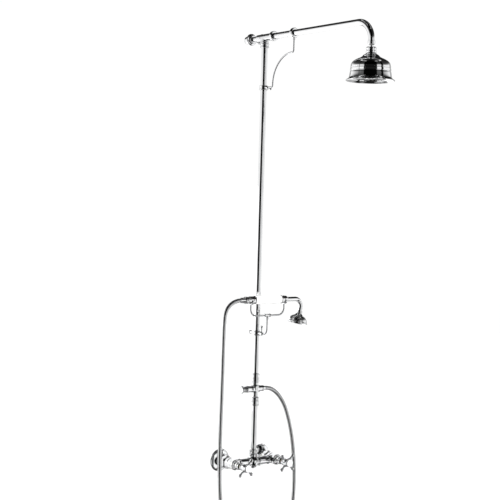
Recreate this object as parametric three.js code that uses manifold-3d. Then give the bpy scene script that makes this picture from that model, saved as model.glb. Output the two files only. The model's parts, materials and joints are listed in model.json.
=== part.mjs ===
// Exposed shower column: a two-tap wall mixer, a riser with a diverter and a hand shower,
// and a braced top arm with a swivelling rose. Millimetres, +Z up, the wall is the plane Y = 0
// and the room lies towards -Y. The origin is on the wall, midway between the two water
// inlets, at the height of the tap spindles.
import * as THREE from 'three';
import { NURBSCurve } from 'three/addons/curves/NURBSCurve.js';
import { mergeVertices } from 'three/addons/utils/BufferGeometryUtils.js';
import Module from 'manifold-3d';

const wasm = await Module();
wasm.setup();

// ---------------------------------------------------------------- overall sizes
const INLET_CENTRES = 150;
const RISER_TO_WALL = 65;
const ARM_HEIGHT = 1225;
const ARM_REACH = 450;
const DIVERTER_HEIGHT = 212;
const CRADLE_HEIGHT = 374;
const HANDSET_HEIGHT = 474;
const HANDSET_STANDOFF = 47;

// ---------------------------------------------------------------- pipes and clearances
const PIPE_RADIUS = 8.5;
const PIPE_WALL = 1.2;
const SOCKET_WALL = 2.2;
const WATERWAY_RADIUS = 6.5;
const SEAT_GAP = 0.3;
const RUNNING_GAP = 0.35;
const EDGE_CHAMFER = 1;
const FINE_CHAMFER = 0.4;
const ROUND_SIDES = 14;
const SMALL_SIDES = 10;
const WIDE_SIDES = 20;
const PIPE_BORE = PIPE_RADIUS - PIPE_WALL;
const PIPE_SOCKET = PIPE_RADIUS + SEAT_GAP;
const SOCKET_RADIUS = PIPE_SOCKET + SOCKET_WALL;

// ---------------------------------------------------------------- mixer valve
const BODY_RADIUS = 12;
const CHAMBER_RADIUS = 15.5;
const CHAMBER_HALF = 19;
const CHAMBER_BORE = 11;
const CHAMBER_DEPTH = 27;
const SPIGOT_RADIUS = 13;
const SPIGOT_LENGTH = 8;
const BOSS_RADIUS = 17;
const RISER_NECK_TOP = 22;
const RISER_SOCKET_DEPTH = 10;
const RISER_NUT_HEIGHT = 13.5;
const NUT_WALL = 4;

// ---------------------------------------------------------------- wall inlets
const TAIL_RADIUS = 10.5;
const TAIL_BORE = 7.5;
const TAIL_IN_WALL = 12;
const FLANGE_RADIUS = 33;
const FLANGE_RIM = 6.5;
const FLANGE_DEPTH = 22;
const UNION_NUT_LENGTH = 16;
const UNION_NUT_WALL = 4.2;
const UNION_LIP = 3;

// ---------------------------------------------------------------- taps
const SPINDLE_RADIUS = 4.5;
const BONNET_REACH = 43;
const BONNET_RADIUS = 11;
const HANDLE_BACK = 47;
const HANDLE_FRONT = 77;
const HANDLE_ARM_OUT = 65;
const HANDLE_ARM_REACH = 27;
const HANDLE_ARM_RADIUS = 3.9;
const HANDLE_TIP_RADIUS = 5.2;
const HANDLE_HUB_RADIUS = 12.5;
const INDEX_RADIUS = 9;
const INDEX_SEAT = 2;

// ---------------------------------------------------------------- diverter
const BARREL_RADIUS = 10;
const BARREL_LEFT = 34;
const BARREL_RIGHT = 14;
const PLUG_RADIUS = 7;
const DIVERTER_NECK = 27;
const DIVERTER_NUT_HEIGHT = 15.5;
const DIVERTER_STEM_RADIUS = 3.5;
const KNOB_LENGTH = 12;
const KNOB_RADIUS = 11.5;
const OUTLET_RADIUS = 8.7;
const OUTLET_END = 22;
const OUTLET_THREAD_RADIUS = 6.6;
const OUTLET_THREAD_END = 28;
const OUTLET_NUT_END = 33;

// ---------------------------------------------------------------- top arm and wall stay
const TEE_WALL = 1.2;
const TEE_RADIUS = PIPE_SOCKET + TEE_WALL;
const TEE_BACK = 32;
const TEE_FRONT = 36;
const TEE_SOCKET_WALL = 2.5;
const TEE_SOCKET_RADIUS = PIPE_SOCKET + TEE_SOCKET_WALL;
const TEE_SOCKET_LOW = 17;
const TOP_NUT_HEIGHT = 12;
const STAY_RADIUS = 7;
const STAY_FLANGE_RADIUS = 17;
const STAY_FLANGE_DEPTH = 13;
const STAY_HUB_RADIUS = 11;
const ANCHOR_RADIUS = 11;
const ANCHOR_LENGTH = 27;
const ARM_NUT_WALL = 5.5;
const ARM_NUT_RADIUS = PIPE_SOCKET + ARM_NUT_WALL;
const ARM_NUT_LENGTH = 10;
const COLLAR_AT = 133;
const COLLAR_LENGTH = 11;
const COLLAR_PIPE_GAP = 1;
const ARM_BEND_RADIUS = 51;
const ARM_TAIL = 6;

// ---------------------------------------------------------------- brace
const BRACE_DROP = 144;
const BRACE_ROD_RADIUS = 2.2;
const BRACE_CURVE_RADIUS = 91;
const BRACE_KNEE_RADIUS = 6;
const CLAMP_WALL = 4;
const BRACE_CLAMP_HEIGHT = 13;
const BRACE_BOSS_OUT = 21;

// ---------------------------------------------------------------- overhead rose
const ROSE_RADIUS = 63.5;
const ROSE_LIP_FLARE = 8;
const ROSE_SHEET = 1.5;
const ROSE_HEIGHT = 72;
const BALL_DROP = 75;
const BALL_RADIUS = 8;
const BALL_STEM_RADIUS = 5;
const BALL_SEAT_WALL = 2;
const SEAT_OUTER = BALL_RADIUS + SEAT_GAP + BALL_SEAT_WALL;
const SWIVEL_NUT_WALL = 3;
const SWIVEL_NUT_RADIUS = SEAT_OUTER + SEAT_GAP + SWIVEL_NUT_WALL;
const SWIVEL_NUT_UP = BALL_RADIUS - 2;
const SWIVEL_NUT_DOWN = BALL_RADIUS + 1;
const ADAPTER_WALL = 1;
const ADAPTER_RADIUS = PIPE_SOCKET + ADAPTER_WALL;
const ADAPTER_HEIGHT = 7;
const FACE_THICKNESS = 2;
const FACE_UP = 6;
const FACE_HOLE_RADIUS = 1.6;
const FACE_HOLE_RINGS = 2;

// ---------------------------------------------------------------- hand shower
const GRIP_HALF = 46;
const GRIP_RADIUS = 13;
const GRIP_END_RADIUS = 11.3;
const CORE_RADIUS = 6.3;
const CORE_WALL = 1.3;
const CORE_INSERT = 6;
const FERRULE_RADIUS = 11;
const INLET_FERRULE_LENGTH = 32;
const HOSE_NUT_LENGTH = 21;
const INLET_FERRULE_END = GRIP_HALF + INLET_FERRULE_LENGTH;
const HOSE_NUT_END = INLET_FERRULE_END + HOSE_NUT_LENGTH;
const HOSE_NUT_RADIUS = 8.6;
const OUTLET_FERRULE_LENGTH = 24;
const OUTLET_FERRULE_END = GRIP_HALF + OUTLET_FERRULE_LENGTH;
const OUTLET_FERRULE_TIP = 9;
const NECK_RADIUS = 6.8;
const NECK_BORE = 5;
const NECK_INSERT = 8;
const NECK_STRAIGHT = 31;
const NECK_STRAIGHT_END = OUTLET_FERRULE_END + NECK_STRAIGHT;
const NECK_BEND_RADIUS = 22;
const NECK_BEND_ANGLE = 105;
const NECK_TAIL = 12;
const HAND_ROSE_RADIUS = 30;
const HAND_ROSE_HEIGHT = 30;
const HAND_ROSE_SHEET = 1.4;
const HAND_NUT_RADIUS = 8.8;
const HAND_NUT_HEIGHT = 6;

// ---------------------------------------------------------------- handset cradle
const CRADLE_CLAMP_HEIGHT = 14;
const CRADLE_BOSS_RADIUS = 5.6;
const CRADLE_BOSS_FRONT = 29;
const CRADLE_BOSS_BACK = 34;
const STEM_RADIUS = 2.5;
const STEM_SOCKET = 12;
const KNUCKLE_DROP = 45;
const KNUCKLE_HALF = 11;
const KNUCKLE_RADIUS = 5.2;
const KNUCKLE_FOOT = 7;
const FORK_ROD_RADIUS = 2.5;
const CUP_PAST_GRIP = 14;
const CUP_HALF_SPAN = GRIP_HALF + CUP_PAST_GRIP;
const CUP_WALL = 2.4;
const CUP_WIDTH = 6;
const CUP_CLEARANCE = 0.4;

// ---------------------------------------------------------------- thumb screws
const SCREW_RADIUS = 2;
const SCREW_LENGTH = 13;
const SCREW_BALL_RADIUS = 4.3;

// ---------------------------------------------------------------- hose
// The control points of a 1.5 m hose, which a cubic spline follows: out of the diverter, down
// in a loop below the taps, and up to the handset, in bends of four diameters or wider.
const HOSE_RADIUS = 6;
const HOSE_SIDES = 8;
const HOSE_DEGREE = 3;
const HOSE_END_POINTS = 8;
const HOSE_STEPS = 76;
const HOSE_ROUTE = [
  [33.3, -65, 212], [41, -65, 212], [53, -65.7, 210.3], [66, -66.5, 204], [79, -67.8, 194],
  [91, -69.2, 180.5], [101.5, -71, 164], [110, -73, 145], [118, -75, 120], [126, -77, 90],
  [131.5, -79, 60], [135.5, -81, 30], [138, -84, -12], [138, -86.5, -50], [136.5, -89, -88],
  [132.5, -91.5, -128], [124, -94, -170], [109, -97, -212], [86, -100, -250], [54, -103, -280],
  [18, -106, -297], [-20, -108.5, -299], [-56, -110.5, -287], [-89, -111.5, -261],
  [-114, -112, -224], [-131, -112, -180], [-142, -112, -132], [-149, -112, -80],
  [-153, -112, -24], [-155, -112, 50], [-154, -112, 150], [-152.5, -112, 270],
  [-152, -112, 380], [-151, -112, 424], [-147.2, -112, 443.1], [-136.4, -112, 459.4],
  [-120.1, -112, 470.2], [-101, -112, 474], [-99.5, -112, 474], [-99.3, -112, 474],
];

const UP = new THREE.Vector3(0, 0, 1);
const DOWN = new THREE.Vector3(0, 0, -1);
const OUT = new THREE.Vector3(0, -1, 0);
const RIGHT = new THREE.Vector3(1, 0, 0);
const LEFT = new THREE.Vector3(-1, 0, 0);
const QUARTER = Math.PI / 2;

// ================================================================ shape helpers
// Every helper builds along local +Z; turnTo then aims the shape along another axis.

function radians(degrees) {
  return (degrees * Math.PI) / 180;
}

// A solid of revolution from [radius, height] pairs, on the axis or closed on itself.
function turned(profile, sides = ROUND_SIDES) {
  const points = profile.map(([radius, height]) => new THREE.Vector2(radius, height));
  return new THREE.LatheGeometry(points, sides).rotateX(QUARTER);
}

function rod(radius, low, high, sides = ROUND_SIDES) {
  return turned([[0, low], [radius, low], [radius, high], [0, high]], sides);
}

function ring(bore, radius, low, high, sides = ROUND_SIDES) {
  return turned([[bore, low], [radius, low], [radius, high], [bore, high], [bore, low]], sides);
}

// A nut or collar: a ring whose two outer edges are broken by a chamfer.
function nut(bore, radius, low, high, sides = ROUND_SIDES, chamfer = EDGE_CHAMFER) {
  return turned([
    [bore, low], [radius - chamfer, low], [radius, low + chamfer],
    [radius, high - chamfer], [radius - chamfer, high], [bore, high], [bore, low],
  ], sides);
}

function hexagon(acrossCorners, low, high) {
  const shape = new THREE.CylinderGeometry(acrossCorners, acrossCorners, high - low, 6);
  return shape.rotateX(QUARTER).translate(0, 0, (low + high) / 2);
}

function ball(radius, height = 0, sides = SMALL_SIDES) {
  return new THREE.SphereGeometry(radius, sides, sides / 2).rotateX(QUARTER).translate(0, 0, height);
}

// An arc of [radius, height] pairs for a turned profile, angles in degrees from the +radius side.
function arcProfile(centreRadius, centreHeight, arcRadius, fromAngle, toAngle, steps) {
  const points = [];
  for (let step = 0; step <= steps; step += 1) {
    const angle = radians(fromAngle + ((toAngle - fromAngle) * step) / steps);
    points.push([
      centreRadius + arcRadius * Math.cos(angle),
      centreHeight + arcRadius * Math.sin(angle),
    ]);
  }
  return points;
}

function circleShape(radius, sides, bore = 0) {
  const around = (size) => Array.from({ length: sides }, (unused, side) => {
    const angle = (2 * Math.PI * side) / sides;
    return new THREE.Vector2(size * Math.cos(angle), size * Math.sin(angle));
  });
  const shape = new THREE.Shape(around(radius));
  if (bore > 0) shape.holes.push(new THREE.Path(around(bore)));
  return shape;
}

function alongCurve(curve, radius, steps, sides = SMALL_SIDES, bore = 0) {
  const shape = circleShape(radius, sides, bore);
  return new THREE.ExtrudeGeometry(shape, { steps, bevelEnabled: false, extrudePath: curve });
}

function curvePath(...pieces) {
  const path = new THREE.CurvePath();
  pieces.forEach((piece) => path.add(piece));
  return path;
}

// A circular bend that starts at a point along one direction and turns towards another.
class Bend extends THREE.Curve {
  constructor(start, heading, turning, radius, angle) {
    super();
    Object.assign(this, { start, heading, turning, radius, angle });
  }

  getPoint(share, target = new THREE.Vector3()) {
    const swept = this.angle * share;
    return target.copy(this.start)
      .addScaledVector(this.heading, this.radius * Math.sin(swept))
      .addScaledVector(this.turning, this.radius * (1 - Math.cos(swept)));
  }
}

function vector(x, y, z) {
  return new THREE.Vector3(x, y, z);
}

function turnTo(geometry, direction, at = [0, 0, 0]) {
  const turn = new THREE.Quaternion().setFromUnitVectors(UP, direction.clone().normalize());
  return geometry.applyQuaternion(turn).translate(...at);
}

// ================================================================ joining and cutting

function toSolid(geometry) {
  const bare = geometry.clone();
  bare.deleteAttribute('normal');
  bare.deleteAttribute('uv');
  const merged = mergeVertices(bare, 1e-4);
  const corners = merged.index.array;
  const kept = [];
  for (let at = 0; at < corners.length; at += 3) {
    const [a, b, c] = corners.slice(at, at + 3);
    if (a !== b && b !== c && c !== a) kept.push(a, b, c);
  }
  return new wasm.Manifold(new wasm.Mesh({
    numProp: 3,
    vertProperties: merged.attributes.position.array,
    triVerts: new Uint32Array(kept),
  }));
}

function carve(added, removed = []) {
  let solid = toSolid(added[0]);
  added.slice(1).forEach((shape) => { solid = solid.add(toSolid(shape)); });
  removed.forEach((shape) => { solid = solid.subtract(toSolid(shape)); });
  const mesh = solid.getMesh();
  const geometry = new THREE.BufferGeometry();
  geometry.setAttribute('position', new THREE.BufferAttribute(mesh.vertProperties, 3));
  geometry.setIndex(new THREE.BufferAttribute(mesh.triVerts, 1));
  return geometry;
}

// ================================================================ finishes

const FINISHES = {
  chrome: { color: 0xd9dcde, metalness: 1, roughness: 0.08 },
  brass: { color: 0xb58e46, metalness: 1, roughness: 0.35 },
  porcelain: { color: 0xf7f6f2, metalness: 0, roughness: 0.12 },
  hose: { color: 0xc3c6c9, metalness: 1, roughness: 0.25 },
  nylon: { color: 0xe7e5dc, metalness: 0, roughness: 0.5 },
};

function piece(name, finish, geometry, direction = UP, at = [0, 0, 0]) {
  const mesh = new THREE.Mesh(geometry, new THREE.MeshStandardMaterial(FINISHES[finish]));
  mesh.name = name;
  mesh.quaternion.setFromUnitVectors(UP, direction.clone().normalize());
  mesh.position.set(...at);
  return mesh;
}

function assembly(at, ...children) {
  const group = new THREE.Group();
  group.position.set(...at);
  group.add(...children.flat());
  return group;
}

// ================================================================ fits shared by several pieces
const SIDE = INLET_CENTRES / 2;
const SPINDLE_BORE = SPINDLE_RADIUS + RUNNING_GAP;
const SPIGOT_END = CHAMBER_HALF + SPIGOT_LENGTH;

function pipeNut(low, high) {
  return nut(PIPE_SOCKET, PIPE_SOCKET + NUT_WALL, low, high);
}

// A thumb screw whose shank starts at its own origin and points along local +Z.
function thumbScrew() {
  const shank = SCREW_LENGTH;
  return carve([
    rod(SCREW_RADIUS, 0, shank, SMALL_SIDES),
    nut(SCREW_RADIUS / 2, SCREW_RADIUS * 1.5, shank * 0.6, shank * 0.75, SMALL_SIDES, FINE_CHAMFER),
    ball(SCREW_BALL_RADIUS, shank + SCREW_BALL_RADIUS * 0.8),
  ]);
}

// ================================================================ wall inlets

function wallFlange() {
  const bore = TAIL_RADIUS + SEAT_GAP;
  const lip = bore + 2.7;
  const inside = FLANGE_RADIUS - FLANGE_RIM;
  return turned([
    [inside, 0], [FLANGE_RADIUS, 0], [FLANGE_RADIUS, 3.4], [FLANGE_RADIUS - 1, 4.4],
    [FLANGE_RADIUS - 4, 4.8], [FLANGE_RADIUS - 4, 7.4], [FLANGE_RADIUS - 5, 8.4],
    [FLANGE_RADIUS - 7.5, 8.8], [lip + 7.5, FLANGE_DEPTH - 9.4], [lip + 3.5, FLANGE_DEPTH - 6.4],
    [lip + 1, FLANGE_DEPTH - 4], [lip, FLANGE_DEPTH - 3], [lip, FLANGE_DEPTH],
    [bore, FLANGE_DEPTH], [bore, FLANGE_DEPTH - 5], [bore + 4, FLANGE_DEPTH - 9],
    [inside - 5, 6], [inside, 3], [inside, 0],
  ]);
}

function inletTail() {
  const end = RISER_TO_WALL - SPIGOT_END - SEAT_GAP;
  const collar = SPIGOT_RADIUS - SEAT_GAP;
  return turned([
    [TAIL_BORE, -TAIL_IN_WALL], [TAIL_RADIUS, -TAIL_IN_WALL], [TAIL_RADIUS, end - UNION_LIP],
    [collar, end - UNION_LIP], [collar, end], [TAIL_BORE, end], [TAIL_BORE, -TAIL_IN_WALL],
  ]);
}

function unionNut() {
  const front = RISER_TO_WALL - CHAMBER_HALF - 2;
  const back = front - UNION_NUT_LENGTH;
  const shoulder = RISER_TO_WALL - SPIGOT_END - UNION_LIP - 2 * SEAT_GAP;
  const wide = SPIGOT_RADIUS + SEAT_GAP;
  return carve([hexagon(wide + UNION_NUT_WALL, back, front)], [
    rod(TAIL_RADIUS + SEAT_GAP, back - 1, front + 1),
    rod(wide, shoulder, front + 1),
  ]);
}

function inlets() {
  return [['left', -SIDE], ['right', SIDE]].flatMap(([side, x]) => [
    piece(`${side}_wall_flange`, 'chrome', wallFlange(), OUT, [x, 0, 0]),
    piece(`${side}_inlet_tail`, 'brass', inletTail(), OUT, [x, 0, 0]),
    piece(`${side}_union_nut`, 'chrome', unionNut(), OUT, [x, 0, 0]),
  ]);
}

// ================================================================ mixer body

function valveBody() {
  const added = [
    turnTo(rod(BODY_RADIUS, -SIDE, SIDE), RIGHT),
    ball(BOSS_RADIUS, 0, ROUND_SIDES),
    rod(SOCKET_RADIUS, 0, RISER_NECK_TOP),
    nut(BODY_RADIUS / 2, SOCKET_RADIUS, -BOSS_RADIUS - 3, 0),
  ];
  const removed = [
    turnTo(rod(WATERWAY_RADIUS, -SIDE, SIDE), RIGHT),
    rod(WATERWAY_RADIUS, 0, RISER_NECK_TOP),
    rod(PIPE_SOCKET, RISER_NECK_TOP - RISER_SOCKET_DEPTH, RISER_NECK_TOP + 1),
  ];
  [-SIDE, SIDE].forEach((x) => {
    const at = [x, 0, 0];
    added.push(turnTo(nut(BODY_RADIUS / 2, CHAMBER_RADIUS, -CHAMBER_HALF, CHAMBER_HALF), OUT, at));
    added.push(turnTo(rod(SPIGOT_RADIUS, -SPIGOT_END, 0), OUT, at));
    removed.push(turnTo(rod(TAIL_BORE, -SPIGOT_END - 1, 0), OUT, at));
    removed.push(turnTo(
      rod(CHAMBER_BORE, CHAMBER_HALF - CHAMBER_DEPTH, CHAMBER_HALF + 1), OUT, at));
  });
  return carve(added, removed);
}

// ================================================================ taps

function bonnet() {
  const thread = CHAMBER_BORE - SEAT_GAP;
  const seat = CHAMBER_HALF + SEAT_GAP;
  return turned([
    [SPINDLE_BORE, seat - 13], [thread, seat - 13], [thread, seat], [BONNET_RADIUS + 2.6, seat],
    [BONNET_RADIUS + 2.6, seat + 3.5], [BONNET_RADIUS, seat + 4.5], [BONNET_RADIUS, seat + 15],
    [BONNET_RADIUS - 1.4, seat + 17], [BONNET_RADIUS - 1.4, seat + 20],
    [BONNET_RADIUS - 4, BONNET_REACH], [SPINDLE_BORE, BONNET_REACH], [SPINDLE_BORE, seat - 13],
  ]);
}

function cartridge() {
  const back = CHAMBER_HALF - CHAMBER_DEPTH + SEAT_GAP;
  return nut(SPINDLE_BORE, CHAMBER_BORE - SEAT_GAP, back, CHAMBER_HALF - 13);
}

function spindle() {
  const back = CHAMBER_HALF - CHAMBER_DEPTH + 1;
  return rod(SPINDLE_RADIUS, back, HANDLE_ARM_OUT - 4, SMALL_SIDES);
}

function crosshead() {
  const hub = HANDLE_HUB_RADIUS;
  const seat = INDEX_RADIUS + SEAT_GAP;
  const added = [turned([
    [0, HANDLE_BACK], [hub - 3, HANDLE_BACK], [hub - 2, HANDLE_BACK + 2],
    [hub - 3.5, HANDLE_BACK + 6], [hub - 3, HANDLE_ARM_OUT - 8], [hub, HANDLE_ARM_OUT - 4],
    [hub, HANDLE_ARM_OUT + 4], [hub - 1.5, HANDLE_ARM_OUT + 7], [hub - 0.8, HANDLE_FRONT - 1],
    [hub - 1.6, HANDLE_FRONT], [0, HANDLE_FRONT],
  ])];
  for (let arm = 0; arm < 4; arm += 1) {
    const angle = radians(45 + 90 * arm);
    const spoke = vector(Math.cos(angle), Math.sin(angle), 0);
    const at = [0, 0, HANDLE_ARM_OUT];
    added.push(turnTo(turned([
      [0, 0], [HANDLE_ARM_RADIUS + 0.8, 0], [HANDLE_ARM_RADIUS + 0.8, hub + 1],
      [HANDLE_ARM_RADIUS, hub + 3.5], [HANDLE_ARM_RADIUS - 0.6, HANDLE_ARM_REACH],
      [0, HANDLE_ARM_REACH],
    ], SMALL_SIDES), spoke, at));
    added.push(turnTo(ball(HANDLE_TIP_RADIUS, HANDLE_ARM_REACH, 8), spoke, at));
  }
  return carve(added, [
    rod(SPINDLE_BORE, HANDLE_BACK - 1, HANDLE_ARM_OUT - 4 + SEAT_GAP, SMALL_SIDES),
    rod(seat, HANDLE_FRONT - INDEX_SEAT, HANDLE_FRONT + 1),
  ]);
}

function indexButton() {
  const base = HANDLE_FRONT - INDEX_SEAT + SEAT_GAP;
  return turned([
    [0, base], [INDEX_RADIUS, base], [INDEX_RADIUS, base + 2.4],
    [INDEX_RADIUS * 0.8, base + 3.6], [INDEX_RADIUS * 0.45, base + 4.4], [0, base + 4.7],
  ]);
}

function taps() {
  return [['left', -SIDE], ['right', SIDE]].flatMap(([side, x]) => [
    piece(`${side}_bonnet`, 'chrome', bonnet(), OUT, [x, 0, 0]),
    piece(`${side}_cartridge`, 'brass', cartridge(), OUT, [x, 0, 0]),
    piece(`${side}_spindle`, 'brass', spindle(), OUT, [x, 0, 0]),
    piece(`${side}_crosshead`, 'chrome', crosshead(), OUT, [x, 0, 0]),
    piece(`${side}_index_button`, 'porcelain', indexButton(), OUT, [x, 0, 0]),
  ]);
}

// ================================================================ riser and diverter
const DIVERTER_LOW = DIVERTER_HEIGHT - BARREL_RADIUS - DIVERTER_NECK + 4;
const DIVERTER_HIGH = DIVERTER_HEIGHT + BARREL_RADIUS + DIVERTER_NECK - 8;
const GLAND_LENGTH = 6;
const GLAND_INSERT = 8;

function diverterBody() {
  const middle = DIVERTER_HEIGHT;
  const bead = SOCKET_RADIUS + 2;
  return carve([
    rod(SOCKET_RADIUS, DIVERTER_LOW, DIVERTER_HIGH),
    nut(WATERWAY_RADIUS, bead, DIVERTER_LOW + 1.5, DIVERTER_LOW + 9),
    nut(WATERWAY_RADIUS, bead, DIVERTER_HIGH - 8.5, DIVERTER_HIGH - 1.5),
    turnTo(rod(BARREL_RADIUS, -BARREL_LEFT, BARREL_RIGHT), RIGHT, [0, 0, middle]),
    turnTo(nut(PLUG_RADIUS, BARREL_RADIUS + 1.2, -BARREL_LEFT, 4 - BARREL_LEFT), RIGHT,
      [0, 0, middle]),
    turnTo(rod(OUTLET_RADIUS, 0, OUTLET_END), RIGHT, [0, 0, middle]),
    turnTo(rod(OUTLET_THREAD_RADIUS, 0, OUTLET_THREAD_END), RIGHT, [0, 0, middle]),
  ], [
    rod(WATERWAY_RADIUS, DIVERTER_LOW - 1, DIVERTER_HIGH + 1),
    rod(PIPE_SOCKET, DIVERTER_LOW - 1, DIVERTER_LOW + RISER_SOCKET_DEPTH),
    rod(PIPE_SOCKET, DIVERTER_HIGH - RISER_SOCKET_DEPTH, DIVERTER_HIGH + 1),
    turnTo(rod(PLUG_RADIUS + RUNNING_GAP, -BARREL_LEFT - 1, 8), RIGHT, [0, 0, middle]),
    turnTo(rod(4, 0, OUTLET_THREAD_END + 1, SMALL_SIDES), RIGHT, [0, 0, middle]),
  ]);
}

// The plug is bored across, from the riser's lower pipe to its upper one, and along to the hose.
function diverterPlug() {
  const inner = GLAND_INSERT - BARREL_LEFT + SEAT_GAP;
  const stemEnd = -BARREL_LEFT - GLAND_LENGTH - KNOB_LENGTH + 3;
  return carve([
    rod(PLUG_RADIUS, inner, 7),
    rod(DIVERTER_STEM_RADIUS, stemEnd, inner, SMALL_SIDES),
  ], [
    turnTo(rod(4, -20, 20, SMALL_SIDES), vector(1, 0, 0)),
    rod(3, 0, 8, SMALL_SIDES),
  ]);
}

function diverterGland() {
  const face = -BARREL_LEFT - SEAT_GAP;
  const bore = DIVERTER_STEM_RADIUS + RUNNING_GAP;
  return turned([
    [bore, face - GLAND_LENGTH + 1], [BARREL_RADIUS - 2, face - GLAND_LENGTH + 1],
    [BARREL_RADIUS - 1, face - GLAND_LENGTH + 2], [BARREL_RADIUS - 1, face],
    [PLUG_RADIUS, face], [PLUG_RADIUS, GLAND_INSERT - BARREL_LEFT],
    [bore, GLAND_INSERT - BARREL_LEFT], [bore, face - GLAND_LENGTH + 1],
  ], SMALL_SIDES);
}

function diverterKnob() {
  const inner = -BARREL_LEFT - GLAND_LENGTH;
  const outer = inner - KNOB_LENGTH;
  return carve([turned([
    [0, outer], [KNOB_RADIUS - 2, outer], [KNOB_RADIUS, outer + 2], [KNOB_RADIUS, outer + 4],
    [KNOB_RADIUS - 2.5, inner - 4], [KNOB_RADIUS - 3, inner], [0, inner],
  ])], [rod(DIVERTER_STEM_RADIUS + SEAT_GAP, outer + 3 - SEAT_GAP, inner + 1, SMALL_SIDES)]);
}

function hoseOutletNut() {
  return turned([
    [OUTLET_THREAD_RADIUS + SEAT_GAP, OUTLET_END + SEAT_GAP],
    [OUTLET_RADIUS + 0.2, OUTLET_END + SEAT_GAP], [OUTLET_RADIUS + 0.2, OUTLET_THREAD_END],
    [OUTLET_RADIUS - 1.4, OUTLET_NUT_END], [3.5, OUTLET_NUT_END], [3.5, OUTLET_THREAD_END + 0.6],
    [OUTLET_THREAD_RADIUS + SEAT_GAP, OUTLET_THREAD_END + SEAT_GAP],
    [OUTLET_THREAD_RADIUS + SEAT_GAP, OUTLET_END + SEAT_GAP],
  ]);
}

function riserColumn() {
  const lowerFoot = RISER_NECK_TOP - RISER_SOCKET_DEPTH + SEAT_GAP;
  const lowerTop = DIVERTER_LOW + RISER_SOCKET_DEPTH - SEAT_GAP;
  const upperFoot = DIVERTER_HIGH - RISER_SOCKET_DEPTH + SEAT_GAP;
  const upperTop = ARM_HEIGHT - TEE_SOCKET_LOW + RISER_SOCKET_DEPTH - SEAT_GAP;
  const baseNut = RISER_NECK_TOP + SEAT_GAP;
  const lowNut = DIVERTER_LOW - SEAT_GAP;
  const highNut = DIVERTER_HIGH + SEAT_GAP;
  const atBarrel = [0, 0, DIVERTER_HEIGHT];
  return [
    piece('riser_base_nut', 'chrome', pipeNut(baseNut, baseNut + RISER_NUT_HEIGHT)),
    piece('lower_riser', 'chrome', ring(PIPE_BORE, PIPE_RADIUS, lowerFoot, lowerTop)),
    piece('diverter_lower_nut', 'chrome', pipeNut(lowNut - DIVERTER_NUT_HEIGHT, lowNut)),
    piece('diverter_body', 'chrome', diverterBody()),
    piece('diverter_upper_nut', 'chrome', pipeNut(highNut, highNut + DIVERTER_NUT_HEIGHT)),
    piece('diverter_plug', 'brass', diverterPlug(), RIGHT, atBarrel),
    piece('diverter_gland_nut', 'chrome', diverterGland(), RIGHT, atBarrel),
    piece('diverter_knob', 'chrome', diverterKnob(), RIGHT, atBarrel),
    piece('hose_outlet_nut', 'chrome', hoseOutletNut(), RIGHT, atBarrel),
    piece('upper_riser', 'chrome', ring(PIPE_BORE, PIPE_RADIUS, upperFoot, upperTop)),
  ];
}

// ================================================================ top arm and wall stay
// Local origin of this assembly: where the riser axis meets the arm axis.
const STAY_TURN = vector(Math.cos(radians(20)), 0, -Math.sin(radians(20)));

function armTee() {
  const sleeve = TEE_RADIUS + 1;
  return carve([
    turnTo(rod(TEE_RADIUS, -TEE_BACK, TEE_FRONT), OUT),
    turnTo(nut(PIPE_BORE, sleeve, TEE_FRONT - 5, TEE_FRONT), OUT),
    rod(TEE_SOCKET_RADIUS, -TEE_SOCKET_LOW, 0),
  ], [
    turnTo(rod(WATERWAY_RADIUS, 0, TEE_FRONT + 1), OUT),
    turnTo(rod(PIPE_SOCKET, TEE_FRONT - RISER_SOCKET_DEPTH, TEE_FRONT + 1), OUT),
    turnTo(rod(STAY_RADIUS + SEAT_GAP, -TEE_BACK - 1, -TEE_BACK + 12), OUT),
    rod(WATERWAY_RADIUS, -TEE_SOCKET_LOW, 0),
    rod(PIPE_SOCKET, -TEE_SOCKET_LOW - 1, -TEE_SOCKET_LOW + RISER_SOCKET_DEPTH),
  ]);
}

function stayFlange() {
  const bore = STAY_RADIUS + SEAT_GAP;
  const recess = ANCHOR_RADIUS + 1;
  const middle = (STAY_FLANGE_DEPTH + 5) / 2;
  return carve([turned([
    [recess, 0], [STAY_FLANGE_RADIUS, 0], [STAY_FLANGE_RADIUS, 3], [STAY_FLANGE_RADIUS - 1.5, 4.2],
    [STAY_HUB_RADIUS + 1, 5.4], [STAY_HUB_RADIUS, 6.4], [STAY_HUB_RADIUS, STAY_FLANGE_DEPTH - 1],
    [STAY_HUB_RADIUS - 1, STAY_FLANGE_DEPTH], [bore, STAY_FLANGE_DEPTH], [bore, 1.5],
    [recess, 1.5], [recess, 0],
  ])], [turnTo(
    rod(SCREW_RADIUS + RUNNING_GAP, 0, STAY_HUB_RADIUS + 2, SMALL_SIDES),
    vector(STAY_TURN.x, STAY_TURN.z, 0), [0, 0, middle])]);
}

function anchorPlug() {
  const back = -SEAT_GAP - ANCHOR_LENGTH;
  return turned([
    [0, back], [ANCHOR_RADIUS * 0.5, back + 1], [ANCHOR_RADIUS * 0.85, back + 4],
    [ANCHOR_RADIUS, back + 9], [ANCHOR_RADIUS, -SEAT_GAP], [0, -SEAT_GAP],
  ]);
}

function armCollar() {
  const half = COLLAR_LENGTH / 2;
  const low = -ARM_NUT_RADIUS - 4;
  return carve([
    turnTo(nut(PIPE_BORE, ARM_NUT_RADIUS, COLLAR_AT - half, COLLAR_AT + half), OUT),
    turnTo(rod(BRACE_ROD_RADIUS + 1.8, low, 0, SMALL_SIDES), UP, [0, -COLLAR_AT, 0]),
  ], [
    turnTo(rod(PIPE_SOCKET, COLLAR_AT - half - 1, COLLAR_AT + half + 1), OUT),
    turnTo(rod(BRACE_ROD_RADIUS + SEAT_GAP, low - 1, 5 - ARM_NUT_RADIUS, SMALL_SIDES), UP,
      [0, -COLLAR_AT, 0]),
  ]);
}

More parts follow.
